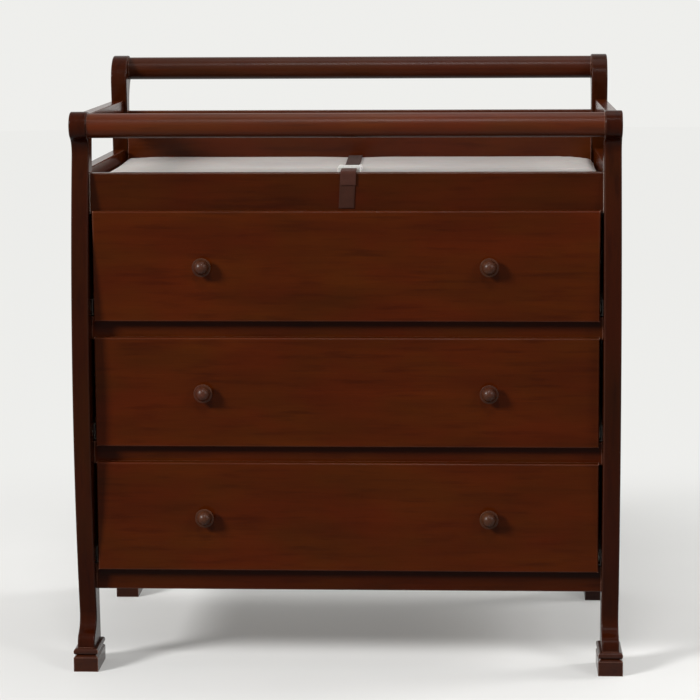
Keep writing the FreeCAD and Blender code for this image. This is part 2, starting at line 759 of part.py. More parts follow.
# ----------------------------------------------------------------------- bolts
bolts = []
for end, places in BOLTS.items():
    for name, (across, up) in places.items():
        for side_name, side in SIDES.items():
            bolt = new_body(f"bolt_{name}_{side_name}")
            shank_end = f"({POST_OUTER} - sizes.counterbore_depth)"
            low, high = span(side, f"({POST_INNER} - sizes.bolt_bite)", shank_end)
            start = (low, across, up)
            round_bar(bolt, "Additive", "x", start, "sizes.bolt_diameter / 2", f"{high} - {low}")
            low, high = span(side, shank_end, f"({shank_end} + sizes.bolt_head_height)")
            round_bar(
                bolt, "Additive", "x", (low, across, up), "sizes.bolt_head_diameter / 2", f"{high} - {low}"
            )
            key_start = f"({shank_end} + sizes.bolt_head_height / 3)"
            low, high = span(side, key_start, f"({shank_end} + sizes.bolt_head_height)")
            key = bolt.newObject("PartDesign::SubtractivePrism", f"{bolt.Label}_key")
            key.Polygon = 6
            key.Placement = Placement(Vector(), AXIS_TURNS["x"])
            for axis, plane in zip("xyz", (low, across, up)):
                key.setExpression(f"Placement.Base.{axis}", plane)
            key.setExpression("Circumradius", "sizes.bolt_socket")
            key.setExpression("Height", f"{high} - {low}")
            bolts.append(bolt)
group("frame_screws", bolts)

# --------------------------------------------------------------------- drawers
SCREW_BORE = "sizes.knob_screw_diameter / 2 + sizes.bolt_clearance"


def knob(drawer, side_name, height):
    """A turned knob with a thin rim behind a dome, and its blind bore."""
    body = new_body(f"drawer_{drawer}_knob_{side_name}")
    middle = f"({SIDES[side_name]} * sizes.knob_spacing / 2)"
    sketch = new_sketch(body, "XY_Plane", "profile")
    sketch.setExpression("AttachmentOffset.Base.x", middle)
    sketch.setExpression("AttachmentOffset.Base.z", height)
    neck = "(sizes.knob_neck_diameter / 2)"
    rim = "(sizes.knob_diameter / 2)"
    rim_top = "(sizes.knob_rim_height + sizes.knob_rim_thickness)"
    dome_rise = f"({rim_top} - sizes.knob_projection + sizes.knob_dome_radius)"
    dome_foot = f"sqrt(sizes.knob_dome_radius * sizes.knob_dome_radius - {dome_rise} * {dome_rise})"
    cove = f"({rim} - {neck})"

    def out(distance):
        return f"({FRONT_FACE} - ({distance}))"

    draw(sketch, [
        ("0", out("0"), None, 0),
        (neck, out("0"), None, 0),
        (neck, out("sizes.knob_neck_length"), cove, 1),
        (rim, out("sizes.knob_rim_height"), "(sizes.knob_rim_thickness * 0.6)", -1),
        (rim, out(rim_top), None, 0),
        (dome_foot, out(rim_top), "sizes.knob_dome_radius", -1),
        ("0", out("sizes.knob_projection"), None, 0),
    ])
    turned = body.newObject("PartDesign::Revolution", f"{body.Label}_turned")
    turned.Profile = sketch
    turned.ReferenceAxis = (sketch, ["V_Axis"])
    turned.Angle = 360
    sketch.Visibility = False
    bore = "(sizes.knob_screw_bite + 1)"
    round_bar(body, "Subtractive", "y", (middle, f"({FRONT_FACE} - {bore})", height), SCREW_BORE, bore)
    return body


def knob_screw(drawer, side_name, height):
    """The screw that holds a knob from inside the drawer."""
    body = new_body(f"drawer_{drawer}_knob_screw_{side_name}")
    middle = f"({SIDES[side_name]} * sizes.knob_spacing / 2)"
    start = (middle, f"({FRONT_FACE} - sizes.knob_screw_bite)", height)
    length = "sizes.knob_screw_bite + sizes.front_thickness"
    round_bar(body, "Additive", "y", start, "sizes.knob_screw_diameter / 2", length)
    start = (middle, FRONT_BACK, height)
    radius = "sizes.knob_screw_head_diameter / 2"
    round_bar(body, "Additive", "y", start, radius, "sizes.knob_screw_head_height")
    return body


def axle(body, side, web, direction, across, up):
    """A roller's axle on a web: collar, pin and head; direction is away from the web."""
    play = "sizes.roller_gap"
    if direction > 0:
        collar = (web, f"({ROLLER_INNER} - {play})")
        pin = (web, f"({ROLLER_OUTER} + {play} + sizes.axle_head_height)")
        head = (f"({ROLLER_OUTER} + {play})", pin[1])
    else:
        collar = (f"({ROLLER_OUTER} + {play})", web)
        pin = (f"({ROLLER_INNER} - {play} - sizes.axle_head_height)", web)
        head = (pin[0], f"({ROLLER_INNER} - {play})")
    for piece, radius in ((collar, "collar"), (pin, "axle"), (head, "collar")):
        low, high = span(side, *piece)
        start = (low, across, up)
        round_bar(body, "Additive", "x", start, f"sizes.{radius}_diameter / 2", f"{high} - {low}")


def roller(label, side, across, up):
    """A roller with its bore."""
    body = new_body(label)
    low, high = span(side, ROLLER_INNER, ROLLER_OUTER)
    start = (low, across, up)
    round_bar(body, "Additive", "x", start, "sizes.roller_diameter / 2", f"{high} - {low}")
    bore = "sizes.axle_diameter / 2 + sizes.running_clearance"
    round_bar(body, "Subtractive", "x", start, bore, f"{high} - {low}")
    return body


battens = []
for drawer in DRAWERS:
    name = f"drawer_{drawer}"
    bottom = front_bottom(drawer)
    base = f"({bottom} + sizes.channel_rise)"
    box_bottom = f"({base} + sizes.angle_rise + sizes.sheet_gauge)"
    box_span = (box_bottom, f"({box_bottom} + sizes.box_side_height)")
    groove_low = f"({box_bottom} + sizes.box_bottom_raise)"
    groove_span = (groove_low, f"({groove_low} + sizes.box_bottom_thickness)")
    knob_height = f"({bottom} + sizes.front_height / 2)"
    groove_end = f"({BOX_INNER} + sizes.box_groove_depth)"

    front = new_body(f"{name}_front")
    block(
        front, "Additive", (f"(-{FRONT_END})", FRONT_END), (FRONT_FACE, FRONT_BACK),
        (bottom, f"({bottom} + sizes.front_height)"),
    )
    face = number(FRONT_FACE)
    dress(front, "Fillet", "Radius", "sizes.front_easing", lambda edge, middle: near(middle.y, face))
    block(
        front, "Subtractive", (f"(-{groove_end})", groove_end),
        (f"({FRONT_BACK} - sizes.box_groove_depth)", FRONT_BACK), groove_span,
    )
    for side in SIDES.values():
        start = (f"({side} * sizes.knob_spacing / 2)", FRONT_FACE, knob_height)
        round_bar(front, "Subtractive", "y", start, SCREW_BORE, "sizes.front_thickness")
    nodes[front.Label] = front

    for side_name, side in SIDES.items():
        wall = board(
            f"{name}_side_{side_name}", span(side, BOX_INNER, BOX_OUTER), (FRONT_BACK, BOX_REAR), box_span
        )
        block(wall, "Subtractive", span(side, BOX_INNER, groove_end), (FRONT_BACK, BOX_REAR), groove_span)
    rear_face = f"({BOX_REAR} - sizes.box_side_thickness)"
    rear = board(f"{name}_back", (f"(-{BOX_INNER})", BOX_INNER), (rear_face, BOX_REAR), box_span)
    rear_groove = (rear_face, f"({rear_face} + sizes.box_groove_depth)")
    block(rear, "Subtractive", (f"(-{BOX_INNER})", BOX_INNER), rear_groove, groove_span)
    bottom_end = f"({groove_end} - sizes.seat_gap)"
    board(
        f"{name}_bottom", (f"(-{bottom_end})", bottom_end),
        (
            f"({FRONT_BACK} - sizes.box_groove_depth + sizes.seat_gap)",
            f"({rear_groove[1]} - sizes.seat_gap)",
        ),
        groove_span,
    )
    group(f"{name}_knobs", [knob(drawer, side_name, knob_height) for side_name in SIDES])
    group(f"{name}_knob_screws", [knob_screw(drawer, side_name, knob_height) for side_name in SIDES])

    head_y = f"({CHANNEL_FRONT} + sizes.roller_inset)"
    tail_y = f"({BOX_REAR} - sizes.tail_roller_inset)"
    head_z = f"({base} + sizes.sheet_gauge + 2 * sizes.roller_gap + sizes.roller_diameter / 2)"
    tail_z = f"({base} + sizes.sheet_gauge + sizes.roller_gap + sizes.roller_diameter / 2)"
    channel_y = (CHANNEL_FRONT, f"({CHANNEL_FRONT} + sizes.channel_length)")
    channel_top = f"({base} + {CHANNEL_ROOM} + 2 * sizes.sheet_gauge)"
    lip_low = f"({head_z} + sizes.roller_diameter / 2 + sizes.roller_gap)"
    channels = []
    angles = []
    head_rollers = []
    tail_rollers = []
    for side_name, side in SIDES.items():
        channel = new_body(f"cabinet_runner_{drawer}_{side_name}")
        block(channel, "Additive", span(side, CHANNEL_EDGE, POST_INNER), channel_y, (base, channel_top))
        hollow = (f"({base} + sizes.sheet_gauge)", f"({channel_top} - sizes.sheet_gauge)")
        block(channel, "Subtractive", span(side, CHANNEL_EDGE, CHANNEL_WEB), channel_y, hollow)
        axle(channel, side, CHANNEL_WEB, -1, head_y, head_z)
        channels.append(channel)

        angle = new_body(f"drawer_{drawer}_runner_{side_name}")
        angle_y = (FRONT_BACK, BOX_REAR)
        seat_low = f"({base} + sizes.angle_rise)"
        lip_high = f"({lip_low} + sizes.sheet_gauge)"
        block(angle, "Additive", span(side, BOX_OUTER, ANGLE_WEB), angle_y, (seat_low, lip_high))
        block(angle, "Additive", span(side, BOX_INNER, ANGLE_WEB), angle_y, (seat_low, box_bottom))
        lip_edge = f"({CHANNEL_WEB} - sizes.lip_gap)"
        block(angle, "Additive", span(side, BOX_OUTER, lip_edge), angle_y, (lip_low, lip_high))
        axle(angle, side, ANGLE_WEB, 1, tail_y, tail_z)
        angles.append(angle)

        head_rollers.append(roller(f"cabinet_roller_{drawer}_{side_name}", side, head_y, head_z))
        tail_rollers.append(roller(f"drawer_roller_{drawer}_{side_name}", side, tail_y, tail_z))

        batten = new_body(f"runner_batten_{drawer}_{side_name}")
        batten_middle = f"(({base} + {channel_top}) / 2)"
        batten_z = (
            f"({batten_middle} - sizes.batten_height / 2)",
            f"({batten_middle} + sizes.batten_height / 2)",
        )
        batten_x = span(side, POST_INNER, BOARD_INNER)
        block(batten, "Additive", batten_x, (f"(-{BATTEN_END})", BATTEN_END), batten_z)
        battens.append(batten)
    group(f"cabinet_runners_{drawer}", channels)
    group(f"drawer_{drawer}_runners", angles)
    group(f"cabinet_rollers_{drawer}", head_rollers)
    group(f"drawer_rollers_{drawer}", tail_rollers)
group("runner_battens", battens)

# ------------------------------------------------------------------------- pad
pad = new_body("changing_pad")
PAD_FRONT = f"({RAIL_BACK} + sizes.pad_front_gap)"
PAD_MIDDLE = f"({PAD_FRONT} + sizes.pad_depth / 2)"
PAD_BOTTOM = "(sizes.tray_floor_top + sizes.seat_gap)"
SIDE_TOP = "(sizes.pad_thickness - sizes.pad_crown)"


def drawn_arc(length):
    """Radius of a side that is drawn in by pad_draw over a length."""
    return f"(({length} * {length} / 4 + sizes.pad_draw * sizes.pad_draw) / (2 * sizes.pad_draw))"


def pad_section(place, height, inset):
    """One level of the pad: round corners, and sides that pull in between them."""
    sketch = new_sketch(pad, "XY_Plane", f"section_{place}")
    sketch.setExpression("AttachmentOffset.Base.y", PAD_MIDDLE)
    sketch.setExpression("AttachmentOffset.Base.z", f"{PAD_BOTTOM} + {height}")
    corner = f"(sizes.pad_corner_radius - {inset} / 4)"
    end_x = f"(sizes.pad_length / 2 - {inset})"
    end_y = f"(sizes.pad_depth / 2 - {inset})"
    run_x = f"({end_x} - {corner})"
    run_y = f"({end_y} - {corner})"
    long_arc = drawn_arc(f"(2 * {run_x})")
    short_arc = drawn_arc(f"(2 * {run_y})")
    draw(sketch, [
        (f"(-{run_x})", f"(-{end_y})", long_arc, -1),
        (run_x, f"(-{end_y})", corner, 1),
        (end_x, f"(-{run_y})", short_arc, -1),
        (end_x, run_y, corner, 1),
        (run_x, end_y, long_arc, -1),
        (f"(-{run_x})", end_y, corner, 1),
        (f"(-{end_x})", run_y, short_arc, -1),
        (f"(-{end_x})", f"(-{run_y})", corner, 1),
    ])
    sketch.Visibility = False
    return sketch


EDGE = "sizes.pad_edge_radius"
PAD_LEVELS = (
    ("0", f"({EDGE} * 0.8)"),
    (f"({EDGE} * 0.134)", f"({EDGE} * 0.5)"),
    (f"({EDGE} * 0.5)", f"({EDGE} * 0.134)"),
    (EDGE, "0"),
    (f"({SIDE_TOP} - {EDGE} * 0.5)", f"({EDGE} * 0.134)"),
    (f"({SIDE_TOP} - {EDGE} * 0.134)", f"({EDGE} * 0.5)"),
    (SIDE_TOP, EDGE),
    (f"({SIDE_TOP} + sizes.pad_crown * 0.65)", f"({EDGE} * 5)"),
    ("sizes.pad_thickness", f"({EDGE} * 12)"),
)
sections = [pad_section(place, *level) for place, level in enumerate(PAD_LEVELS)]
loft = pad.newObject("PartDesign::AdditiveLoft", "changing_pad_loft")
loft.Profile = sections[0]
loft.Sections = sections[1:]
loft.Ruled = True
nodes["changing_pad"] = pad


# ---------------------------------------------------------------------- straps
def ribbon(label, path):
    """Webbing along a path of level and upright runs, with rounded bends.

    The path is its middle line, as pairs of expressions (across, up).
    """
    body = new_body(label)
    sketch = new_sketch(body, "YZ_Plane", "outline")
    sketch.setExpression("AttachmentOffset.Base.z", "sizes.strap_offset - sizes.strap_width / 2")
    points = [(number(across), number(up)) for across, up in path]
    ways = []
    for start, end in zip(points, points[1:]):
        reach = math.dist(start, end)
        ways.append(tuple(round((end[axis] - start[axis]) / reach) for axis in (0, 1)))
    half = "sizes.strap_gauge / 2"

    def shifted(place, offset_x, offset_y):
        across, up = path[place]
        return f"({across} + {offset_x})", f"({up} + {offset_y})"

    def corner(place, hand):
        """Ends of the bend at a path point, on the left (1) or right (-1) of travel."""
        before = ways[place - 1]
        after = ways[place]
        turn = before[0] * after[1] - before[1] * after[0]
        radius = "sizes.strap_bend" if turn == hand else "(sizes.strap_bend + sizes.strap_gauge)"
        sides = [(-way[1] * hand, way[0] * hand) for way in (before, after)]
        offset = [sides[0][axis] + sides[1][axis] for axis in (0, 1)]
        ends = []
        for way, sign in ((before, -1), (after, 1)):
            parts = [f"{offset[axis]} * {half} + {sign * way[axis]} * {radius}" for axis in (0, 1)]
            ends.append(shifted(place, *parts))
        return ends, radius, turn

    rims = []
    for hand in (1, -1):
        rim = []
        last = len(path) - 1
        for place in range(len(path)):
            if place in (0, last):
                way = ways[0] if place == 0 else ways[-1]
                parts = (f"{-way[1] * hand} * {half}", f"{way[0] * hand} * {half}")
                rim.append((*shifted(place, *parts), None, 0))
                continue
            ends, radius, turn = corner(place, hand)
            if hand > 0:
                rim.append((*ends[0], radius, turn))
                rim.append((*ends[1], None, 0))
            else:
                rim.append((*ends[0], None, 0))
                rim.append((*ends[1], radius, -turn))
        rims.append(rim)
    draw(sketch, rims[0] + rims[1][::-1])
    pad_out(body, sketch, "sizes.strap_width")
    nodes[label] = body
    return body


HALF_GAUGE = "sizes.strap_gauge / 2"
STRAP_FOOT = "(sizes.tray_floor_top + sizes.strap_foot_height)"
LOWER = f"({WEBBING_BOTTOM} + {HALF_GAUGE})"
UPPER = f"({LOWER} + {WEBBING_LIFT})"
OVER_APRON = f"(sizes.apron_top + sizes.seat_gap + {HALF_GAUGE})"
FRONT_DROP = f"({RAIL_BACK} + sizes.seat_gap + {HALF_GAUGE})"
REAR_DROP = f"({BACK_BOARD_FACE} - sizes.seat_gap - {HALF_GAUGE})"
FRONT_LOOP = f"({BUCKLE_FRONT} + sizes.buckle_bar_width + sizes.seat_gap + {HALF_GAUGE})"
REAR_LOOP = f"({BUCKLE_REAR} - sizes.buckle_bar_width - sizes.seat_gap - {HALF_GAUGE})"
STEP_Y = f"({PAD_FRONT} + {EDGE})"
HANG_Y = f"({RAIL_FACE} - sizes.seat_gap - {HALF_GAUGE})"
strap_front = ribbon("strap_front", [
    (FRONT_DROP, STRAP_FOOT),
    (FRONT_DROP, LOWER),
    (FRONT_LOOP, LOWER),
    (FRONT_LOOP, UPPER),
    (STEP_Y, UPPER),
    (STEP_Y, OVER_APRON),
    (HANG_Y, OVER_APRON),
    (HANG_Y, "sizes.strap_tail_end"),
])
strap_back = ribbon("strap_back", [
    (REAR_DROP, STRAP_FOOT),
    (REAR_DROP, LOWER),
    (REAR_LOOP, LOWER),
    (REAR_LOOP, UPPER),
    (f"({REAR_LOOP} + sizes.strap_fold)", UPPER),
])

strap_screws = []
SCREW_HEIGHT = "(sizes.tray_floor_top + sizes.strap_screw_height)"
for end, webbing, wood, plane in (
    ("front", strap_front, apron, RAIL_BACK), ("back", strap_back, back_board, BACK_BOARD_FACE)
):
    sign = -ENDS[end]
    head_gap = "(sizes.strap_gauge + 2 * sizes.seat_gap)"

    def along(low, high):
        """Span between two distances from the board's face into the tray."""
        if sign > 0:
            return f"({plane} + {low})", f"({plane} + {high})"
        return f"({plane} - {high})", f"({plane} - {low})"

    bore = "sizes.strap_screw_diameter / 2 + sizes.bolt_clearance"
    for body, reach in (
        (webbing, along("0", head_gap)), (wood, along("(0 - sizes.strap_screw_length - 1)", "0"))
    ):
        start = ("sizes.strap_offset", reach[0], SCREW_HEIGHT)
        round_bar(body, "Subtractive", "y", start, bore, f"{reach[1]} - {reach[0]}")
    screw = new_body(f"strap_screw_{end}")
    reach = along("(0 - sizes.strap_screw_length)", head_gap)
    start = ("sizes.strap_offset", reach[0], SCREW_HEIGHT)
    round_bar(
        screw, "Additive", "y", start, "sizes.strap_screw_diameter / 2", f"{reach[1]} - {reach[0]}"
    )
    reach = along(head_gap, f"({head_gap} + sizes.strap_screw_head_height)")
    start = ("sizes.strap_offset", reach[0], SCREW_HEIGHT)
    radius = "sizes.strap_screw_head_diameter / 2"
    round_bar(screw, "Additive", "y", start, radius, "sizes.strap_screw_head_height")
    strap_screws.append(screw)
group("strap_screws", strap_screws)


# ---------------------------------------------------------------------- buckle
def across_strap(half_width):
    """Span of a piece centred on the strap."""
    return f"(sizes.strap_offset - {half_width})", f"(sizes.strap_offset + {half_width})"


BUCKLE_LEVELS = (WEBBING_BOTTOM, f"({WEBBING_BOTTOM} + sizes.buckle_thickness)")
BUCKLE_HALF = "(sizes.buckle_width / 2)"
EYE_HALF = "(sizes.strap_width / 2 + 1.5)"
BAR_LEVELS = (
    f"({WEBBING_BOTTOM} + sizes.strap_gauge + sizes.seat_gap)",
    f"({WEBBING_BOTTOM} + sizes.strap_gauge + sizes.seat_gap + sizes.buckle_bar)",
)


def strap_bar(body, end, way):
    """Cut the slot and free the bar that webbing goes round; way points into the buckle."""
    bar_side = f"({end} + {way} * sizes.buckle_bar_width)"
    eye_side = f"({bar_side} + {way} * sizes.buckle_slot)"
    bar = sorted((end, bar_side), key=number)
    eye = sorted((bar_side, eye_side), key=number)
    block(body, "Subtractive", across_strap(EYE_HALF), eye, BUCKLE_LEVELS)
    block(body, "Subtractive", across_strap(EYE_HALF), bar, (BUCKLE_LEVELS[0], BAR_LEVELS[0]))
    block(body, "Subtractive", across_strap(EYE_HALF), bar, (BAR_LEVELS[1], BUCKLE_LEVELS[1]))


PLUG_FACE = f"({BUCKLE_FRONT} + sizes.plug_shoulder)"
SOCKET_FACE = f"({PLUG_FACE} + sizes.seat_gap)"
ARM_END = f"({PLUG_FACE} + sizes.plug_arm)"
CAVITY_HALF = "(sizes.buckle_width / 2 - sizes.buckle_wall)"
CAVITY_LEVELS = (
    f"({BUCKLE_LEVELS[0]} + sizes.buckle_wall)", f"({BUCKLE_LEVELS[1]} - sizes.buckle_wall)"
)
ARM_LEVELS = (f"({CAVITY_LEVELS[0]} + sizes.seat_gap)", f"({CAVITY_LEVELS[1]} - sizes.seat_gap)")
PRONG = "(sizes.buckle_width * 0.09)"
CATCH_LOW = f"({PLUG_FACE} + sizes.plug_arm * 0.45)"
CATCH_HIGH = f"({PLUG_FACE} + sizes.plug_arm * 0.85)"

plug = new_body("buckle_plug")
block(plug, "Additive", across_strap(BUCKLE_HALF), (BUCKLE_FRONT, PLUG_FACE), BUCKLE_LEVELS)
plug_corners = (number(across_strap(BUCKLE_HALF)[0]), number(across_strap(BUCKLE_HALF)[1]))
plug_front = number(BUCKLE_FRONT)
dress(
    plug, "Fillet", "Radius", "sizes.buckle_wall",
    lambda edge, middle: near(middle.y, plug_front) and any(near(middle.x, x) for x in plug_corners),
)
strap_bar(plug, BUCKLE_FRONT, 1)
block(plug, "Additive", across_strap(f"({PRONG} / 2)"), (PLUG_FACE, ARM_END), ARM_LEVELS)
for side in SIDES.values():
    arm_outer = f"({CAVITY_HALF} - sizes.seat_gap)"
    low, high = span(side, f"({arm_outer} - {PRONG})", arm_outer)
    offset_span = (f"(sizes.strap_offset + {low})", f"(sizes.strap_offset + {high})")
    block(plug, "Additive", offset_span, (PLUG_FACE, ARM_END), ARM_LEVELS)
    low, high = span(side, f"({arm_outer} - 1)", f"({arm_outer} + sizes.buckle_wall * 0.6)")
    offset_span = (f"(sizes.strap_offset + {low})", f"(sizes.strap_offset + {high})")
    block(plug, "Additive", offset_span, (CATCH_LOW, CATCH_HIGH), ARM_LEVELS)
nodes["buckle_plug"] = plug

socket = new_body("buckle_socket")
block(socket, "Additive", across_strap(BUCKLE_HALF), (SOCKET_FACE, BUCKLE_REAR), BUCKLE_LEVELS)
socket_rear = number(BUCKLE_REAR)
dress(
    socket, "Fillet", "Radius", "sizes.buckle_wall",
    lambda edge, middle: near(middle.y, socket_rear) and any(near(middle.x, x) for x in plug_corners),
)
strap_bar(socket, BUCKLE_REAR, -1)
block(
    socket, "Subtractive", across_strap(CAVITY_HALF),
    (SOCKET_FACE, f"({ARM_END} + sizes.seat_gap)"), CAVITY_LEVELS,
)
block(
    socket, "Subtractive", across_strap(BUCKLE_HALF),
    (f"({CATCH_LOW} - sizes.seat_gap)", f"({CATCH_HIGH} + sizes.seat_gap)"), CAVITY_LEVELS,
)
nodes["buckle_socket"] = socket

# --------------------------------------------------------------- check and save
doc.recompute()
for item in doc.Objects:
    if "Invalid" in item.State or "Error" in item.State:
        raise RuntimeError(f"{item.Label} did not build: {item.State}")
for label, item in nodes.items():
    if item.Shape.isNull() or not item.Shape.isValid():
        raise RuntimeError(f"{label} has no sound shape")
os.makedirs("parts", exist_ok=True)
for label, item in nodes.items():
    item.Shape.exportStep(f"parts/{label}.step")
print(f"{len(nodes)} nodes")
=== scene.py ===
"""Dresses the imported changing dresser: finishes, pad, strap, buckle, light and camera."""

from __future__ import annotations

import json
import logging
import math
from collections.abc import Callable, Iterable, Sequence
from dataclasses import dataclass, field
from enum import Enum

import bpy
from mathutils import Matrix, Vector, noise

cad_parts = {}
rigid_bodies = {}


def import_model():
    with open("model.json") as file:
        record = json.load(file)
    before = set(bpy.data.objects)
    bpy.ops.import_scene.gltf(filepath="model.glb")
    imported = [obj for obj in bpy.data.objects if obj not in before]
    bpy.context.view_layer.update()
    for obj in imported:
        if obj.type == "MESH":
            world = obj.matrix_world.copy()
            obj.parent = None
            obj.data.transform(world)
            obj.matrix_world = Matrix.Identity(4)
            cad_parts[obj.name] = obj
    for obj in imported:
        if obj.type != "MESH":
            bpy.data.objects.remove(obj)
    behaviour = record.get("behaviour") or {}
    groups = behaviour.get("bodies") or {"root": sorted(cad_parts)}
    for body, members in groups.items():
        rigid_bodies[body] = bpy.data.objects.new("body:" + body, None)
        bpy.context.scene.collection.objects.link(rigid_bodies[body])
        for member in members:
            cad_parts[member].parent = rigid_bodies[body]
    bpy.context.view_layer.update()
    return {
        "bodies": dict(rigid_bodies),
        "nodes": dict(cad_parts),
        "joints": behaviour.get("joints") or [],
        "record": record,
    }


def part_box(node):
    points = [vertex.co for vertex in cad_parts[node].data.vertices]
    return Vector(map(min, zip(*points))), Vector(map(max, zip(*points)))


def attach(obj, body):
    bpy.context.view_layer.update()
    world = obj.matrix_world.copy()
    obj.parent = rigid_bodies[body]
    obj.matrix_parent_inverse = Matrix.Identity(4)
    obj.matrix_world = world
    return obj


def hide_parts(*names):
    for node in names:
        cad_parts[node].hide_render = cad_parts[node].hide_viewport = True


log = logging.getLogger("changing_dresser")

Point = tuple[float, float]
Point3 = tuple[float, float, float]
Colour = tuple[float, float, float]
Span = tuple[float, float]
Piece = bpy.types.Object
Material = bpy.types.Material
Socket = bpy.types.NodeSocket

NOISE_SPAN: Span = (0.3, 0.7)  # where nearly all of a noise's values lie
ARRIS_SPAN: Span = (0.99, 0.80)  # likeness of true and rounded normal, flat to sharp
PLAIN: Colour = (1.0, 1.0, 1.0)
TINY = 1e-9
SENSOR_WIDTH = 36.0


class Grain(Enum):
    """Which way the wood's grain runs in a piece."""

    ACROSS = (1.0, 0.0, 0.0)
    DEEP = (0.0, 1.0, 0.0)
    UPRIGHT = (0.0, 0.0, 1.0)

    def repeats(self, along: float, across: float) -> Point3:
        """Scale of a pattern that runs with the grain.

        Args:
            along: repeats per metre along the grain.
            across: repeats per metre across it.

        Returns:
            Repeats per metre on each axis.
        """
        return tuple(along if part else across for part in self.value)


class Hand(Enum):
    """Which end of the webbing a piece belongs to."""

    FRONT = -1
    BACK = 1


# ---- materials
def map_range(
    tree: bpy.types.NodeTree,
    value: Socket,
    source: Span,
    target: Span = (0.0, 1.0),
    curve: str = "LINEAR",
) -> Socket:
    """Carry a value from one range to another.

    Args:
        tree: the node tree.
        value: the value socket.
        source: the range it comes from.
        target: the range it goes to.
        curve: the interpolation.

    Returns:
        The new value socket.
    """
    node = tree.nodes.new("ShaderNodeMapRange")
    node.interpolation_type = curve
    for name, amount in zip(("From Min", "From Max", "To Min", "To Max"), (*source, *target)):
        node.inputs[name].default_value = amount
    tree.links.new(value, node.inputs["Value"])
    return node.outputs["Result"]


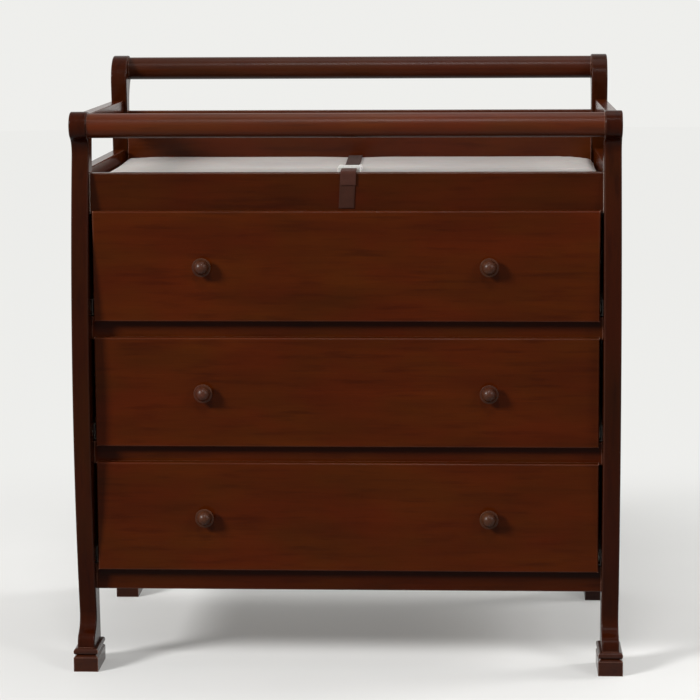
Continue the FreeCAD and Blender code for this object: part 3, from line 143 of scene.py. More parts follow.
class Recipe:
    """A material's node tree, with short calls to add and join its nodes."""

    def __init__(self, name: str) -> None:
        """Start an empty material with a Principled shader.

        Args:
            name: the material's name.
        """
        self.material = bpy.data.materials.new(name)
        self.material.use_nodes = True
        self.tree = self.material.node_tree
        self.tree.nodes.clear()
        self.shader = self.add("ShaderNodeBsdfPrincipled")
        self.surface = self.add("ShaderNodeOutputMaterial").inputs["Surface"]
        self.join(self.shader.outputs["BSDF"], self.surface)

    def add(self, kind: str, **settings: object) -> bpy.types.Node:
        """Add a node.

        Args:
            kind: the node's type name.
            **settings: properties of the node, or values of its input sockets.

        Returns:
            The new node.
        """
        node = self.tree.nodes.new(kind)
        for key, value in settings.items():
            if hasattr(node, key):
                setattr(node, key, value)
            else:
                node.inputs[key.replace("_", " ").title()].default_value = value
        return node

    def join(self, source: Socket, target: Socket) -> None:
        """Link an output socket to an input socket.

        Args:
            source: the output socket.
            target: the input socket.
        """
        self.tree.links.new(source, target)

    def place(self) -> Socket:
        """Object coordinates.

        Returns:
            The vector socket.
        """
        return self.add("ShaderNodeTexCoord").outputs["Object"]

    def feed(self, colour: Socket, rough: Socket) -> None:
        """Give the shader its colour and roughness.

        Args:
            colour: the colour socket.
            rough: the roughness value's socket.
        """
        self.join(colour, self.shader.inputs["Base Color"])
        self.join(rough, self.shader.inputs["Roughness"])

    def stretched(self, coordinates: Socket, scale: Point3) -> Socket:
        """Coordinates scaled on each axis.

        Args:
            coordinates: a vector socket.
            scale: repeats per metre on each axis.

        Returns:
            The scaled vector socket.
        """
        mapping = self.add("ShaderNodeMapping")
        mapping.inputs["Scale"].default_value = scale
        self.join(coordinates, mapping.inputs["Vector"])
        return mapping.outputs["Vector"]

    def speckle(self, vector: Socket, scale: Point3, detail: float, rough: float) -> Socket:
        """A noise value over a vector.

        Args:
            vector: the coordinates.
            scale: repeats per metre on each axis.
            detail: the noise's detail.
            rough: the noise's roughness.

        Returns:
            The noise's value socket.
        """
        texture = self.add("ShaderNodeTexNoise", scale=1.0, detail=detail, roughness=rough)
        self.join(self.stretched(vector, scale), texture.inputs["Vector"])
        return texture.outputs["Fac"]

    def ramp(self, value: Socket, stops: Sequence[tuple[float, Colour]]) -> Socket:
        """Colours along a value.

        Args:
            value: the value socket.
            stops: pairs of position and colour.

        Returns:
            The colour socket.
        """
        node = self.add("ShaderNodeValToRGB")
        elements = node.color_ramp.elements
        while len(elements) < len(stops):
            elements.new(0.5)
        for element, (position, colour) in zip(elements, stops):
            element.position = position
            element.color = (*colour, 1.0)
        self.join(value, node.inputs["Fac"])
        return node.outputs["Color"]

    def tones(self, value: Socket, dark: Colour, light: Colour) -> Socket:
        """Colours from dark to light along a noise.

        Args:
            value: the noise's value socket.
            dark: colour at the noise's low end.
            light: colour at its high end.

        Returns:
            The colour socket.
        """
        return self.ramp(value, ((NOISE_SPAN[0], dark), (NOISE_SPAN[1], light)))

    def spread(self, value: Socket, low: float, high: float) -> Socket:
        """A noise's value spread over a range.

        Args:
            value: the noise's value socket.
            low: result at the noise's low end.
            high: result at its high end.

        Returns:
            The new value socket.
        """
        return map_range(self.tree, value, NOISE_SPAN, (low, high))

    def blend(
        self, amount: Socket | float, first: Socket, second: Socket, how: str = "MULTIPLY"
    ) -> Socket:
        """Mix two colours.

        Args:
            amount: how much of the second, as a socket or a number.
            first: the first colour socket.
            second: the second colour socket.
            how: the blend type.

        Returns:
            The mixed colour socket.
        """
        node = self.add("ShaderNodeMix", data_type="RGBA", blend_type=how)
        if isinstance(amount, float):
            node.inputs[0].default_value = amount
        else:
            self.join(amount, node.inputs[0])
        self.join(first, node.inputs[6])
        self.join(second, node.inputs[7])
        return node.outputs[2]

    def relief(self, heights: Sequence[tuple[Socket, float]]) -> None:
        """Stack bumps on the shader.

        Args:
            heights: pairs of height socket and depth in metres.
        """
        last = None
        for height, depth in heights:
            bump = self.add("ShaderNodeBump")
            bump.inputs["Strength"].default_value = 1.0
            bump.inputs["Distance"].default_value = depth
            self.join(height, bump.inputs["Height"])
            if last is not None:
                self.join(last, bump.inputs["Normal"])
            last = bump.outputs["Normal"]
        self.join(last, self.shader.inputs["Normal"])

    def arris(self, radius: float) -> Socket:
        """Where a surface lies close to an edge, from 0 to 1.

        Args:
            radius: how far from the edge it reaches, in metres.

        Returns:
            The value socket.
        """
        rounded = self.add("ShaderNodeBevel", samples=4)
        rounded.inputs["Radius"].default_value = radius
        plain = self.add("ShaderNodeNewGeometry")
        alike = self.add("ShaderNodeVectorMath", operation="DOT_PRODUCT")
        self.join(rounded.outputs["Normal"], alike.inputs[0])
        self.join(plain.outputs["Normal"], alike.inputs[1])
        return map_range(self.tree, alike.outputs["Value"], ARRIS_SPAN)

    def gloss(self, **values: float) -> None:
        """Set constants on the shader's own sockets.

        Args:
            **values: the sockets' names, with underscores for spaces, and their values.
        """
        for key, value in values.items():
            self.shader.inputs[key.replace("_", " ")].default_value = value


@dataclass(frozen=True)
class Lacquer:
    """Stained hardwood under satin lacquer, with fine grain and open pores, and a lighter colour
    along the arrises that is painted highlight with some wear.

    Each layer of the figure has its repeats per metre along and across the grain.
    """

    name: str
    tone: Colour
    grain: Grain
    roughness: float = 0.20
    gloss: float = 0.05
    contrast: float = 0.20
    # wear and rim: how much of the lighter arris colour is mixed in, and that colour: painted
    # highlight where the rounded edges catch the light, with some wear
    wear: float = 0.75
    rim: Colour = (0.200, 0.105, 0.078)
    drift: Point3 = (0.0, 0.0, 0.0)
    wave: float = 1.0
    rim_reach: float = 0.0026
    figure: Span = (3.0, 26.0)
    fibre: Span = (11.0, 420.0)
    cloud: Span = (5.0, 8.0)
    hue: Span = (7.0, 16.0)
    pore: Span = (34.0, 900.0)
    dash: Span = (9.0, 95.0)

    def shade(self, amount: float) -> Colour:
        """The stain's tone, scaled.

        Args:
            amount: how much lighter.

        Returns:
            The colour.
        """
        return (self.tone[0] * amount, self.tone[1] * amount, self.tone[2] * amount)

    def material(self) -> Material:
        """Build the material.

        Returns:
            The finished material.
        """
        recipe = Recipe(self.name)
        shifted = recipe.add("ShaderNodeMapping")
        shifted.inputs["Location"].default_value = self.drift
        recipe.join(recipe.place(), shifted.inputs["Vector"])
        place = shifted.outputs["Vector"]
        figure = recipe.speckle(place, self.grain.repeats(*self.figure), 5.0, 0.62)
        fibre = recipe.speckle(place, self.grain.repeats(*self.fibre), 4.0, 0.6)
        cloud = recipe.speckle(place, self.grain.repeats(*self.cloud), 3.0, 0.5)
        hue = recipe.speckle(place, self.grain.repeats(*self.hue), 2.0, 0.5)
        pore = recipe.speckle(place, self.grain.repeats(*self.pore), 2.0, 0.5)
        dash = recipe.speckle(place, self.grain.repeats(*self.dash), 3.0, 0.55)
        tone = recipe.tones(figure, self.shade(1 - self.contrast), self.shade(1 + self.contrast))
        turn = recipe.ramp(hue, ((0.34, (1.04, 0.90, 1.0)), (0.66, (0.96, 1.12, 0.92))))
        patches = recipe.tones(cloud, (0.88, 0.87, 0.86), (1.12, 1.13, 1.14))
        streaks = recipe.tones(fibre, (0.92, 0.91, 0.90), (1.06, 1.06, 1.06))
        pits = recipe.ramp(pore, ((0.28, (0.80, 0.78, 0.76)), (0.40, PLAIN)))
        dashes = recipe.ramp(dash, ((0.30, (0.76, 0.72, 0.68)), (0.47, PLAIN)))
        colour = recipe.blend(1.0, tone, turn)
        for layer, amount in ((patches, 1.0), (dashes, 1.0), (streaks, 1.0), (pits, 0.5)):
            colour = recipe.blend(amount, colour, layer)
        # A lighter colour along the arrises: painted highlight where the rounded edges catch the
        # light, with some wear.
        rim = recipe.arris(self.rim_reach)
        worn = recipe.add("ShaderNodeMath", operation="MULTIPLY")
        worn.inputs[1].default_value = self.wear
        recipe.join(rim, worn.inputs[0])
        light = recipe.add("ShaderNodeRGB")
        light.outputs[0].default_value = (*self.rim, 1.0)
        colour = recipe.blend(worn.outputs[0], colour, light.outputs[0], "MIX")
        recipe.feed(colour, recipe.spread(fibre, self.roughness - 0.03, self.roughness + 0.05))
        recipe.relief(((fibre, 0.000005), (pits, 0.00001), (cloud, 0.00010 * self.wave)))
        recipe.gloss(Specular_IOR_Level=self.gloss, IOR=1.48)
        return recipe.material


@dataclass(frozen=True)
class Ply:
    """Bare board: plywood or a papered panel, matt, with a plain figure."""

    name: str
    dark: Colour
    light: Colour
    grain: Grain
    roughness: float = 0.6
    figure: Span = (1.3, 11.0)
    fibre: Span = (12.0, 420.0)

    def material(self) -> Material:
        """Build the material.

        Returns:
            The finished material.
        """
        recipe = Recipe(self.name)
        place = recipe.place()
        figure = recipe.speckle(place, self.grain.repeats(*self.figure), 6.0, 0.6)
        fibre = recipe.speckle(place, self.grain.repeats(*self.fibre), 3.0, 0.55)
        tone = recipe.ramp(figure, ((0.34, self.dark), (0.66, self.light)))
        streaks = recipe.tones(fibre, (0.86, 0.84, 0.82), (1.08, 1.08, 1.08))
        recipe.feed(
            recipe.blend(1.0, tone, streaks),
            recipe.spread(fibre, self.roughness - 0.06, self.roughness + 0.08),
        )
        recipe.relief(((fibre, 0.00003), (figure, 0.0001)))
        recipe.gloss(Specular_IOR_Level=0.2)
        return recipe.material


@dataclass(frozen=True)
class Vinyl:
    """Soft embossed vinyl of the pad's cover."""

    name: str
    shade: Colour
    light: Colour
    pebble: float = 620.0

    def material(self) -> Material:
        """Build the material.

        Returns:
            The finished material.
        """
        recipe = Recipe(self.name)
        place = recipe.place()
        cloud = recipe.speckle(place, (4.0, 5.0, 5.0), 3.0, 0.5)
        slack = recipe.speckle(place, (16.0, 30.0, 20.0), 3.0, 0.6)
        cells = recipe.add("ShaderNodeTexVoronoi", feature="DISTANCE_TO_EDGE")
        cells.inputs["Scale"].default_value = self.pebble
        recipe.join(place, cells.inputs["Vector"])
        tone = recipe.tones(cloud, self.shade, self.light)
        # Darker in the valleys between the pebbles of the emboss: painted shade.
        valley_shade_stops = ((0.0, (0.90, 0.895, 0.89)), (0.12, PLAIN))
        valley_shade = recipe.ramp(cells.outputs["Distance"], valley_shade_stops)
        recipe.feed(recipe.blend(0.8, tone, valley_shade), recipe.spread(slack, 0.38, 0.50))
        recipe.relief(((slack, 0.0012), (valley_shade, 0.00006)))
        recipe.gloss(Subsurface_Weight=0.06, Subsurface_Scale=0.004)
        recipe.gloss(Coat_Weight=0.12, Coat_Roughness=0.3)
        return recipe.material


@dataclass(frozen=True)
class Webbing:
    """Woven strap: ribs across, two rows of warp cords, and dull yarn."""

    name: str
    dark: Colour
    light: Colour
    width: float
    length: float

    def material(self) -> Material:
        """Build the material on the strap's own UV map.

        Returns:
            The finished material.
        """
        recipe = Recipe(self.name)
        flat = recipe.add("ShaderNodeUVMap", uv_map="UVMap").outputs["UV"]
        metres = recipe.stretched(flat, (self.width, self.length, 1.0))
        ribs, cords = (
            recipe.add("ShaderNodeTexWave", bands_direction=way, scale=scale, distortion=bend)
            for way, scale, bend in (("Y", 170.0, 0.6), ("X", 240.0, 0.0))
        )
        for weave in (ribs, cords):
            recipe.join(metres, weave.inputs["Vector"])
        yarn = recipe.speckle(flat, (self.width * 1800, self.length * 900, 1.0), 3.0, 0.6)
        wear = recipe.speckle(flat, (self.width * 60, self.length * 30, 1.0), 3.0, 0.5)
        rib, cord = ribs.outputs["Fac"], cords.outputs["Fac"]
        tone = recipe.ramp(rib, ((0.1, self.dark), (0.8, self.light)))
        fuzz = recipe.tones(yarn, (0.78, 0.78, 0.78), (1.2, 1.18, 1.16))
        worn = recipe.tones(wear, (0.92, 0.92, 0.92), (1.1, 1.1, 1.1))
        recipe.feed(
            recipe.blend(1.0, recipe.blend(1.0, tone, fuzz), worn),
            recipe.spread(yarn, 0.62, 0.82),
        )
        recipe.relief(((rib, 0.0004), (cord, 0.0002), (yarn, 0.0001)))
        recipe.gloss(Sheen_Weight=0.04, Sheen_Roughness=0.5, Specular_IOR_Level=0.06)
        return recipe.material


@dataclass(frozen=True)
class Moulding:
    """Moulded plastic with a faint texture and soft gloss."""

    name: str
    shade: Colour
    light: Colour
    roughness: float

    def material(self) -> Material:
        """Build the material.

        Returns:
            The finished material.
        """
        recipe = Recipe(self.name)
        place = recipe.place()
        flow = recipe.speckle(place, (45.0, 45.0, 45.0), 2.0, 0.5)
        matt = recipe.speckle(place, (2600.0, 2600.0, 2600.0), 2.0, 0.5)
        recipe.feed(
            recipe.tones(flow, self.shade, self.light),
            recipe.spread(matt, self.roughness - 0.05, self.roughness + 0.08),
        )
        recipe.relief(((matt, 0.00001), (flow, 0.0001)))
        recipe.gloss(Subsurface_Weight=0.05, Subsurface_Scale=0.002, IOR=1.5)
        return recipe.material


@dataclass(frozen=True)
class Metal:
    """Sheet or turned steel, plated or powder coated."""

    name: str
    shade: Colour
    light: Colour
    metallic: float = 1.0
    roughness: float = 0.34
    peel: float = 0.00001

    def material(self) -> Material:
        """Build the material.

        Returns:
            The finished material.
        """
        recipe = Recipe(self.name)
        place = recipe.place()
        cloud = recipe.speckle(place, (30.0, 12.0, 30.0), 4.0, 0.6)
        skin = recipe.speckle(place, (900.0, 900.0, 900.0), 3.0, 0.55)
        recipe.feed(
            recipe.tones(cloud, self.shade, self.light),
            recipe.spread(cloud, self.roughness - 0.06, self.roughness + 0.1),
        )
        recipe.relief(((skin, self.peel),))
        recipe.gloss(Metallic=self.metallic)
        return recipe.material


def backdrop_rays(tree: bpy.types.NodeTree) -> Socket:
    """A value of 1 for rays that show the pale backdrop: seen, mirrored or seen through.

    Args:
        tree: the node tree that the value is for.

    Returns:
        The value socket.
    """
    path = tree.nodes.new("ShaderNodeLightPath")
    last = path.outputs["Is Camera Ray"]
    for name in ("Is Glossy Ray", "Is Transmission Ray"):
        joined = tree.nodes.new("ShaderNodeMath")
        joined.operation = "MAXIMUM"
        tree.links.new(last, joined.inputs[0])
        tree.links.new(path.outputs[name], joined.inputs[1])
        last = joined.outputs[0]
    return last


# ---- workbench
def let_go() -> None:
    """Leave edit mode and deselect everything."""
    if bpy.context.object is not None and bpy.context.object.mode != "OBJECT":
        bpy.ops.object.mode_set(mode="OBJECT")
    bpy.ops.object.select_all(action="DESELECT")


def pick(piece: Piece) -> None:
    """Make one piece the only selected and active one.

    Args:
        piece: the piece.
    """
    let_go()
    piece.select_set(True)
    bpy.context.view_layer.objects.active = piece


def settle(piece: Piece) -> None:
    """Put a piece's place, turn and size into its mesh.

    Args:
        piece: the piece.
    """
    pick(piece)
    bpy.ops.object.transform_apply(location=True, rotation=True, scale=True)


def new_block(name: str, low: Point3, high: Point3) -> Piece:
    """Add a cube between two corners as the start of a piece.

    Args:
        name: the piece's name.
        low: lowest corner, in metres.
        high: highest corner, in metres.

    Returns:
        The new piece, its place in its mesh.
    """
    let_go()
    middle = [(a + b) / 2 for a, b in zip(low, high)]
    size = [b - a for a, b in zip(low, high)]
    bpy.ops.mesh.primitive_cube_add(size=1.0, location=middle, scale=size)
    piece = bpy.context.object
    piece.name = name
    piece.data.name = name
    settle(piece)
    return piece


def work_on(piece: Piece, kind: str, test: Callable[[Vector, Vector], bool]) -> None:
    """Enter edit mode with some edges or faces selected.

    Args:
        piece: the piece.
        kind: EDGE or FACE.
        test: says yes from an edge's middle and direction, or a face's middle and normal.
    """
    pick(piece)
    bpy.ops.object.mode_set(mode="EDIT")
    bpy.ops.mesh.select_mode(type=kind)
    bpy.ops.mesh.select_all(action="DESELECT")
    bpy.ops.object.mode_set(mode="OBJECT")
    if kind == "EDGE":
        places = [corner.co for corner in piece.data.vertices]
        for edge in piece.data.edges:
            start, end = (places[index] for index in edge.vertices)
            edge.select = test((start + end) / 2, (end - start).normalized())
    else:
        for face in piece.data.polygons:
            face.select = test(face.center, face.normal)
    bpy.ops.object.mode_set(mode="EDIT")


def finish_modifier(piece: Piece, kind: str, **settings: object) -> None:
    """Add a modifier and apply it at once.

    Args:
        piece: the piece.
        kind: the modifier's type.
        **settings: its properties.
    """
    pick(piece)
    modifier = piece.modifiers.new(kind.lower(), kind)
    for key, value in settings.items():
        setattr(modifier, key, value)
    bpy.ops.object.modifier_apply(modifier=modifier.name)


def hand_over(piece: Piece, body: str, finish: Material) -> None:
    """Give a new piece its finish, its body and its slot, and log it.

    Args:
        piece: the piece.
        body: the body that it rides on.
        finish: its material.
    """
    piece.data.materials.append(finish)
    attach(piece, body)
    log.info("%s: %d faces on %s", piece.name, len(piece.data.polygons), body)


def paint(nodes: dict[str, Piece], names: Iterable[str], finish: Material) -> None:
    """Give carried-over pieces a finish.

    Args:
        nodes: the frame's pieces by name.
        names: which of them.
        finish: the material.
    """
    for name in names:
        piece = nodes[name]
        if not piece.material_slots:
            piece.data.materials.append(finish)
        for place in piece.material_slots:
            place.material = finish
        log.info("%s: %s", name, finish.name)


# ---- sub-assemblies
ZINC_DARK: Colour = (0.42, 0.42, 0.40)
ZINC_LIGHT: Colour = (0.58, 0.57, 0.54)
INNER_DARK: Colour = (0.060, 0.026, 0.014)
INNER_LIGHT: Colour = (0.095, 0.045, 0.026)
PLY_DARK: Colour = (0.40, 0.25, 0.13)
PLY_LIGHT: Colour = (0.55, 0.37, 0.21)


@dataclass
class Carcass:
    """Posts, feet, rails, panels and bolts: their shapes are the frame's own."""

    nodes: dict[str, Piece]
    stain: Colour = (0.0480, 0.0080, 0.0008)

    def lacquer(self, name: str, grain: Grain, lift: float = 1.0, **extra: object) -> Material:
        """The dresser's lacquer for one group of pieces.

        Args:
            name: the material's name.
            grain: the way the grain runs.
            lift: how much lighter than the plain stain.
            **extra: other settings of the lacquer.

        Returns:
            The material.
        """
        tone = tuple(part * lift for part in self.stain)
        return Lacquer(name, tone, grain, **extra).material()

    def dress(self) -> None:
        """Paint every fixed piece of the carcass."""
        across, deep, upright = Grain.ACROSS, Grain.DEEP, Grain.UPRIGHT
        sides = ("left", "right")
        board = {"drift": (0.1, 0.0, 0.5), "gloss": 0.14}
        # The apron's bright arris colour is painted highlight along its top edge, with some wear.
        edge = {"drift": (0.3, 0.0, 0.2), "rim": (0.42, 0.37, 0.33), "wear": 0.85}
        front = {"gloss": 0.13, "roughness": 0.33, "wave": 0.2}
        back = {"drift": (0.5, 0.2, 0.0), "gloss": 0.12, "roughness": 0.30, "wave": 0.2}
        for names, label, grain, lift, extra in (
            ([f"post_{end}_{side}" for end in ("front", "back") for side in sides],
             "post", upright, 0.44, {"gloss": 0.06}),
            (["foot_blocks", "foot_mouldings"], "foot", deep, 0.55, {"gloss": 0.18}),
            (["front_top_rail"], "front_rail", across, 1.15, front),
            (["back_top_rail"], "back_rail", across, 0.62, back),
            (["divider_rails"], "divider", across, 0.95, {}),
            (["bottom_rail_front", "bottom_rail_back"], "flat_rail", across, 0.65, {}),
            (["tray_apron"], "apron", across, 0.80, edge),
            (["tray_back_board"], "board", across, 0.85, board),
            ([f"side_top_rail_{side}" for side in sides], "side_rail", deep, 0.8, {"gloss": 0.08}),
            ([f"side_panel_{side}" for side in sides],
             "panel", upright, 0.9, {"drift": (0.1, 0.4, 0.0)}),
        ):
            paint(self.nodes, names, self.lacquer(f"{label}_lacquer", grain, lift, **extra))
        inner = Ply("inner_board", INNER_DARK, INNER_LIGHT, across)
        batten = Ply("batten_board", INNER_DARK, INNER_LIGHT, deep)
        zinc = Metal("zinc_plate", ZINC_DARK, ZINC_LIGHT)
        paint(self.nodes, ["tray_floor", "back_panel"], inner.material())
        paint(self.nodes, ["runner_battens"], batten.material())
        paint(self.nodes, ["frame_screws", "strap_screws"], zinc.material())


@dataclass
class DrawerStack:
    """The three drawers, their runners and rollers."""

    nodes: dict[str, Piece]
    carcass: Carcass
    count: int = 3
    front_drift: float = 0.37
    # Lighter arris colour of the drawer fronts: painted highlight on their top edges, with some
    # wear.
    front_rim: Colour = (0.27, 0.150, 0.115)
    knob_tone: Colour = (0.044, 0.0125, 0.0055)

    def dress(self) -> None:
        """Paint the drawers, each front with its own figure."""
        deep = Ply("drawer_side_ply", PLY_DARK, PLY_LIGHT, Grain.DEEP).material()
        across = Ply("drawer_back_ply", PLY_DARK, PLY_LIGHT, Grain.ACROSS).material()
        base = Ply(
            "drawer_bottom_ply", (0.44, 0.29, 0.16), (0.58, 0.41, 0.25), Grain.ACROSS, 0.5
        ).material()
        coat = Metal(
            "runner_coat", (0.028, 0.020, 0.015), (0.045, 0.033, 0.026), 0.0, 0.42, 0.00003
        ).material()
        nylon = Moulding("roller_nylon", (0.66, 0.64, 0.58), (0.76, 0.74, 0.69), 0.4).material()
        zinc = Metal("screw_zinc", ZINC_DARK, ZINC_LIGHT).material()
        turned = Lacquer(
            "turned_lacquer", self.knob_tone, Grain.DEEP, roughness=0.34, gloss=0.17, wear=0.0
        ).material()
        for number in range(1, self.count + 1):
            along = self.front_drift * number
            # Each front's arrises take the lighter rim colour: painted highlight, with some wear.
            front = self.carcass.lacquer(
                f"front_{number}_lacquer",
                Grain.ACROSS,
                drift=(along, 0.0, along * 1.7),
                rim=self.front_rim,
                wear=0.85,
            )
            name = f"drawer_{number}"
            for parts, finish in (
                ([f"{name}_front"], front),
                ([f"{name}_side_left", f"{name}_side_right"], deep),
                ([f"{name}_back"], across),
                ([f"{name}_bottom"], base),
                ([f"{name}_knobs"], turned),
                ([f"{name}_knob_screws"], zinc),
                ([f"{name}_runners", f"cabinet_runners_{number}"], coat),
                ([f"cabinet_rollers_{number}", f"drawer_rollers_{number}"], nylon),
            ):
                paint(self.nodes, parts, finish)


@dataclass
class ChangingPad:
    """The vinyl pad: a foam core in a taut cover with welded welts."""

    low: Point3
    high: Point3
    corners: tuple[tuple[int, int, float], ...] = (
        (0, 0, 0.050), (1, 0, 0.036), (0, 1, 0.030), (1, 1, 0.050),
    )
    inset: float = 0.003
    top_inset: float = 0.0027
    base_gap: float = 0.0002
    edge: float = 0.0075
    cell: float = 0.006
    swell: float = 0.0035
    welt: float = 0.0011
    draw: float = 0.0022
    crown: float = 0.0012
    slack: float = 0.010
    press: float = 0.0016
    press_width: float = 0.045
    strap_place: float = 0.001
    upper_welt: float = 0.0095
    lower_welt: float = 0.006
    pressure: float = 3.0
    tension: float = 40.0
    bending: float = 2.0
    frames: int = 14
    creases: tuple[tuple[Point, Point, float, float], ...] = field(
        default=(
            ((0.300, -0.116), (0.425, -0.066), 0.0034, 0.008),
            ((0.240, -0.128), (0.330, -0.112), 0.0014, 0.007),
            ((0.012, 0.150), (0.034, 0.118), 0.0010, 0.004),
            ((-0.355, 0.120), (-0.300, 0.150), 0.0010, 0.005),
            ((-0.330, -0.150), (-0.372, -0.120), 0.0010, 0.005),
        )
    )

    def round_corners(self, piece: Piece, low: Point3, high: Point3, segments: int) -> None:
        """Round a block's four upright edges, each by its own radius.

        Args:
            piece: the block.
            low: its lowest corner.
            high: its highest corner.
            segments: steps of each curve.
        """
        for right, back, radius in self.corners:
            edge = ((low, high)[right][0], (low, high)[back][1])
            near = 0.002
            work_on(piece, "EDGE", lambda middle, way: (
                abs(way.z) > 0.9 and math.dist(middle.xy, edge) < near
            ))
            bpy.ops.mesh.bevel(offset=radius, segments=segments, affect="EDGES")
            bpy.ops.object.mode_set(mode="OBJECT")

    def shell(self) -> Piece:
        """Shape the foam: a block with rounded plan corners and rims.

        Returns:
            The closed block, a little smaller than its room.
        """
        inset = self.inset
        low = (self.low[0] + inset, self.low[1] + inset, self.low[2] + self.base_gap)
        high = (self.high[0] - inset, self.high[1] - inset, self.high[2] - self.top_inset)
        piece = new_block("pad_cover", low, high)
        self.round_corners(piece, low, high, 10)
        level, off = (low[2] + high[2]) / 2, 0.005
        work_on(piece, "EDGE", lambda middle, way: (
            abs(way.z) < 0.1 and abs(middle.z - level) > off
        ))
        bpy.ops.mesh.bevel(offset=self.edge, segments=5, affect="EDGES")
        bpy.ops.object.mode_set(mode="OBJECT")
        finish_modifier(piece, "REMESH", mode="VOXEL", voxel_size=self.cell, use_smooth_shade=True)
        return piece

    def inflate(self, piece: Piece) -> None:
        """Let the cover swell under a little pressure, and hold it within its room.

        Args:
            piece: the shell, remeshed.
        """
        rest = [corner.co.copy() for corner in piece.data.vertices]
        pick(piece)
        base = piece.vertex_groups.new(name="base")
        floor = self.low[2] + 0.002
        base.add([i for i, place in enumerate(rest) if place.z < floor], 1.0, "REPLACE")
        cloth = piece.modifiers.new("cover", "CLOTH")
        cloth.settings.use_pressure = True
        cloth.settings.uniform_pressure_force = self.pressure
        cloth.settings.tension_stiffness = self.tension
        cloth.settings.bending_stiffness = self.bending
        cloth.settings.vertex_group_mass = "base"
        cloth.settings.effector_weights.gravity = 0.0
        scene = bpy.context.scene
        for frame in range(1, self.frames + 1):
            scene.frame_set(frame)
        bpy.ops.object.modifier_apply(modifier=cloth.name)
        scene.frame_set(1)
        piece.vertex_groups.clear()
        for corner, start in zip(piece.data.vertices, rest):
            move = corner.co - start
            if move.length > self.swell:
                corner.co = start + move.normalized() * self.swell

    def model(self, place: Vector) -> Vector:
        """Crown the top, pull the sides in and press the creases at one point.

        Args:
            place: a point of the cover.

        Returns:
            Where it goes.
        """
        middle = [(a + b) / 2 for a, b in zip(self.low, self.high)]
        half = [(b - a) / 2 for a, b in zip(self.low, self.high)]
        across = (place.x - middle[0]) / half[0]
        deep = (place.y - middle[1]) / half[1]
        up = (place.z - self.low[2]) / (self.high[2] - self.low[2])
        moved = place.copy()
        moved.y -= self.draw * deep * (1 - across**2) * (abs(deep) > 0.5) * abs(deep) ** 6
        moved.x -= self.draw * across * (1 - deep**2) * (abs(across) > 0.5) * abs(across) ** 6
        if across < -0.7:
            moved.x += self.slack * ((-across - 0.7) / 0.3) ** 2 * (0.5 - deep / 2)
        if up > 0.5:
            crown = (1 - across**8) * (1 - deep**10)
            ripple = noise.noise(Vector((place.x * 9, place.y * 13, 3.1))) * 0.0008
            ripple += noise.noise(Vector((place.x * 34, place.y * 46, 7.7))) * 0.00022
            from_strap = (place.x - self.strap_place) / self.press_width
            ripple -= self.press * math.exp(-(from_strap**2))
            moved.z += (self.crown * (crown - 1) + ripple) * (up - 0.5) * 2
            for start, end, depth, width in self.creases:
                moved.z -= depth * self.near_line(place, start, end, width) * (up - 0.5) * 2
        return moved

    def fill_room(self, piece: Piece) -> None:
        """Ease the cover out sideways until it fills its room but for the welts.

        Args:
            piece: the modelled cover.
        """
        for axis in (0, 1):
            reach = [corner.co[axis] for corner in piece.data.vertices]
            start, end = min(reach), max(reach)
            room = (self.low[axis] + self.welt * 1.5, self.high[axis] - self.welt * 1.5)
            for corner in piece.data.vertices:
                part = (corner.co[axis] - start) / (end - start)
                corner.co[axis] = room[0] + part * (room[1] - room[0])

    @staticmethod
    def near_line(place: Vector, start: Point, end: Point, width: float) -> float:
        """How close a point is to a crease's line, from 0 to 1.

        Args:
            place: the point.
            start: one end of the line.
            end: the other end.
            width: the crease's half width.

        Returns:
            1 on the line, falling smoothly to 0.
        """
        run = (end[0] - start[0], end[1] - start[1])
        length = math.hypot(*run)
        along = ((place.x - start[0]) * run[0] + (place.y - start[1]) * run[1]) / length
        off = ((place.x - start[0]) * run[1] - (place.y - start[1]) * run[0]) / length
        fade = max(0.0, 1 - abs(2 * along / length - 1)) ** 0.5 if 0 < along < length else 0.0
        return fade * math.exp(-((off / width) ** 2))

    def welts(self, cover: Piece, finish: Material) -> None:
        """Two thin welded welts round the cover, at its upper and lower rims.

        Args:
            cover: the finished cover that they lie on.
            finish: the welts' vinyl.
        """
        half = 0.0005
        for name, height in (
            ("pad_welt_upper", self.high[2] - self.upper_welt),
            ("pad_welt_lower", self.low[2] + self.lower_welt),
        ):
            low = (self.low[0], self.low[1], height - half)
            high = (self.high[0], self.high[1], height + half)
            piece = new_block(name, low, high)
            self.round_corners(piece, low, high, 14)
            work_on(piece, "FACE", lambda middle, normal: abs(normal.z) > 0.9)
            bpy.ops.mesh.delete(type="ONLY_FACE")
            bpy.ops.mesh.select_mode(type="EDGE")
            bpy.ops.mesh.select_all(action="SELECT")
            bpy.ops.mesh.subdivide(number_cuts=3)
            bpy.ops.object.mode_set(mode="OBJECT")
            finish_modifier(piece, "SHRINKWRAP", target=cover, wrap_method="NEAREST_SURFACEPOINT")
            finish_modifier(piece, "SOLIDIFY", thickness=self.welt * 2, offset=0.0)
            finish_modifier(piece, "SUBSURF", levels=1, render_levels=1)
            hand_over(piece, "frame", finish)

    def build(self) -> None:
        """Make the pad and its welts in place of the plain solid."""
        piece = self.shell()
        self.inflate(piece)
        for corner in piece.data.vertices:
            corner.co = self.model(corner.co)
            corner.co.z = min(max(corner.co.z, self.low[2]), self.high[2])
        self.fill_room(piece)
        finish_modifier(piece, "SUBSURF", levels=1, render_levels=1)
        pick(piece)
        bpy.ops.object.shade_smooth()
        vinyl = Vinyl("pad_vinyl", (0.335, 0.311, 0.300), (0.416, 0.388, 0.364))
        hand_over(piece, "frame", vinyl.material())
        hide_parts("changing_pad")
        welt = Vinyl("welt_vinyl", (0.44, 0.405, 0.385), (0.52, 0.485, 0.46), 900.0)
        self.welts(piece, welt.material())


def marks_along(line: Sequence[Point]) -> list[float]:
    """Distance along a line at each of its points.

    Args:
        line: the points.

    Returns:
        One distance for each point.
    """
    marks = [0.0]
    for start, end in zip(line, line[1:]):
        marks.append(marks[-1] + math.dist(start, end))
    return marks


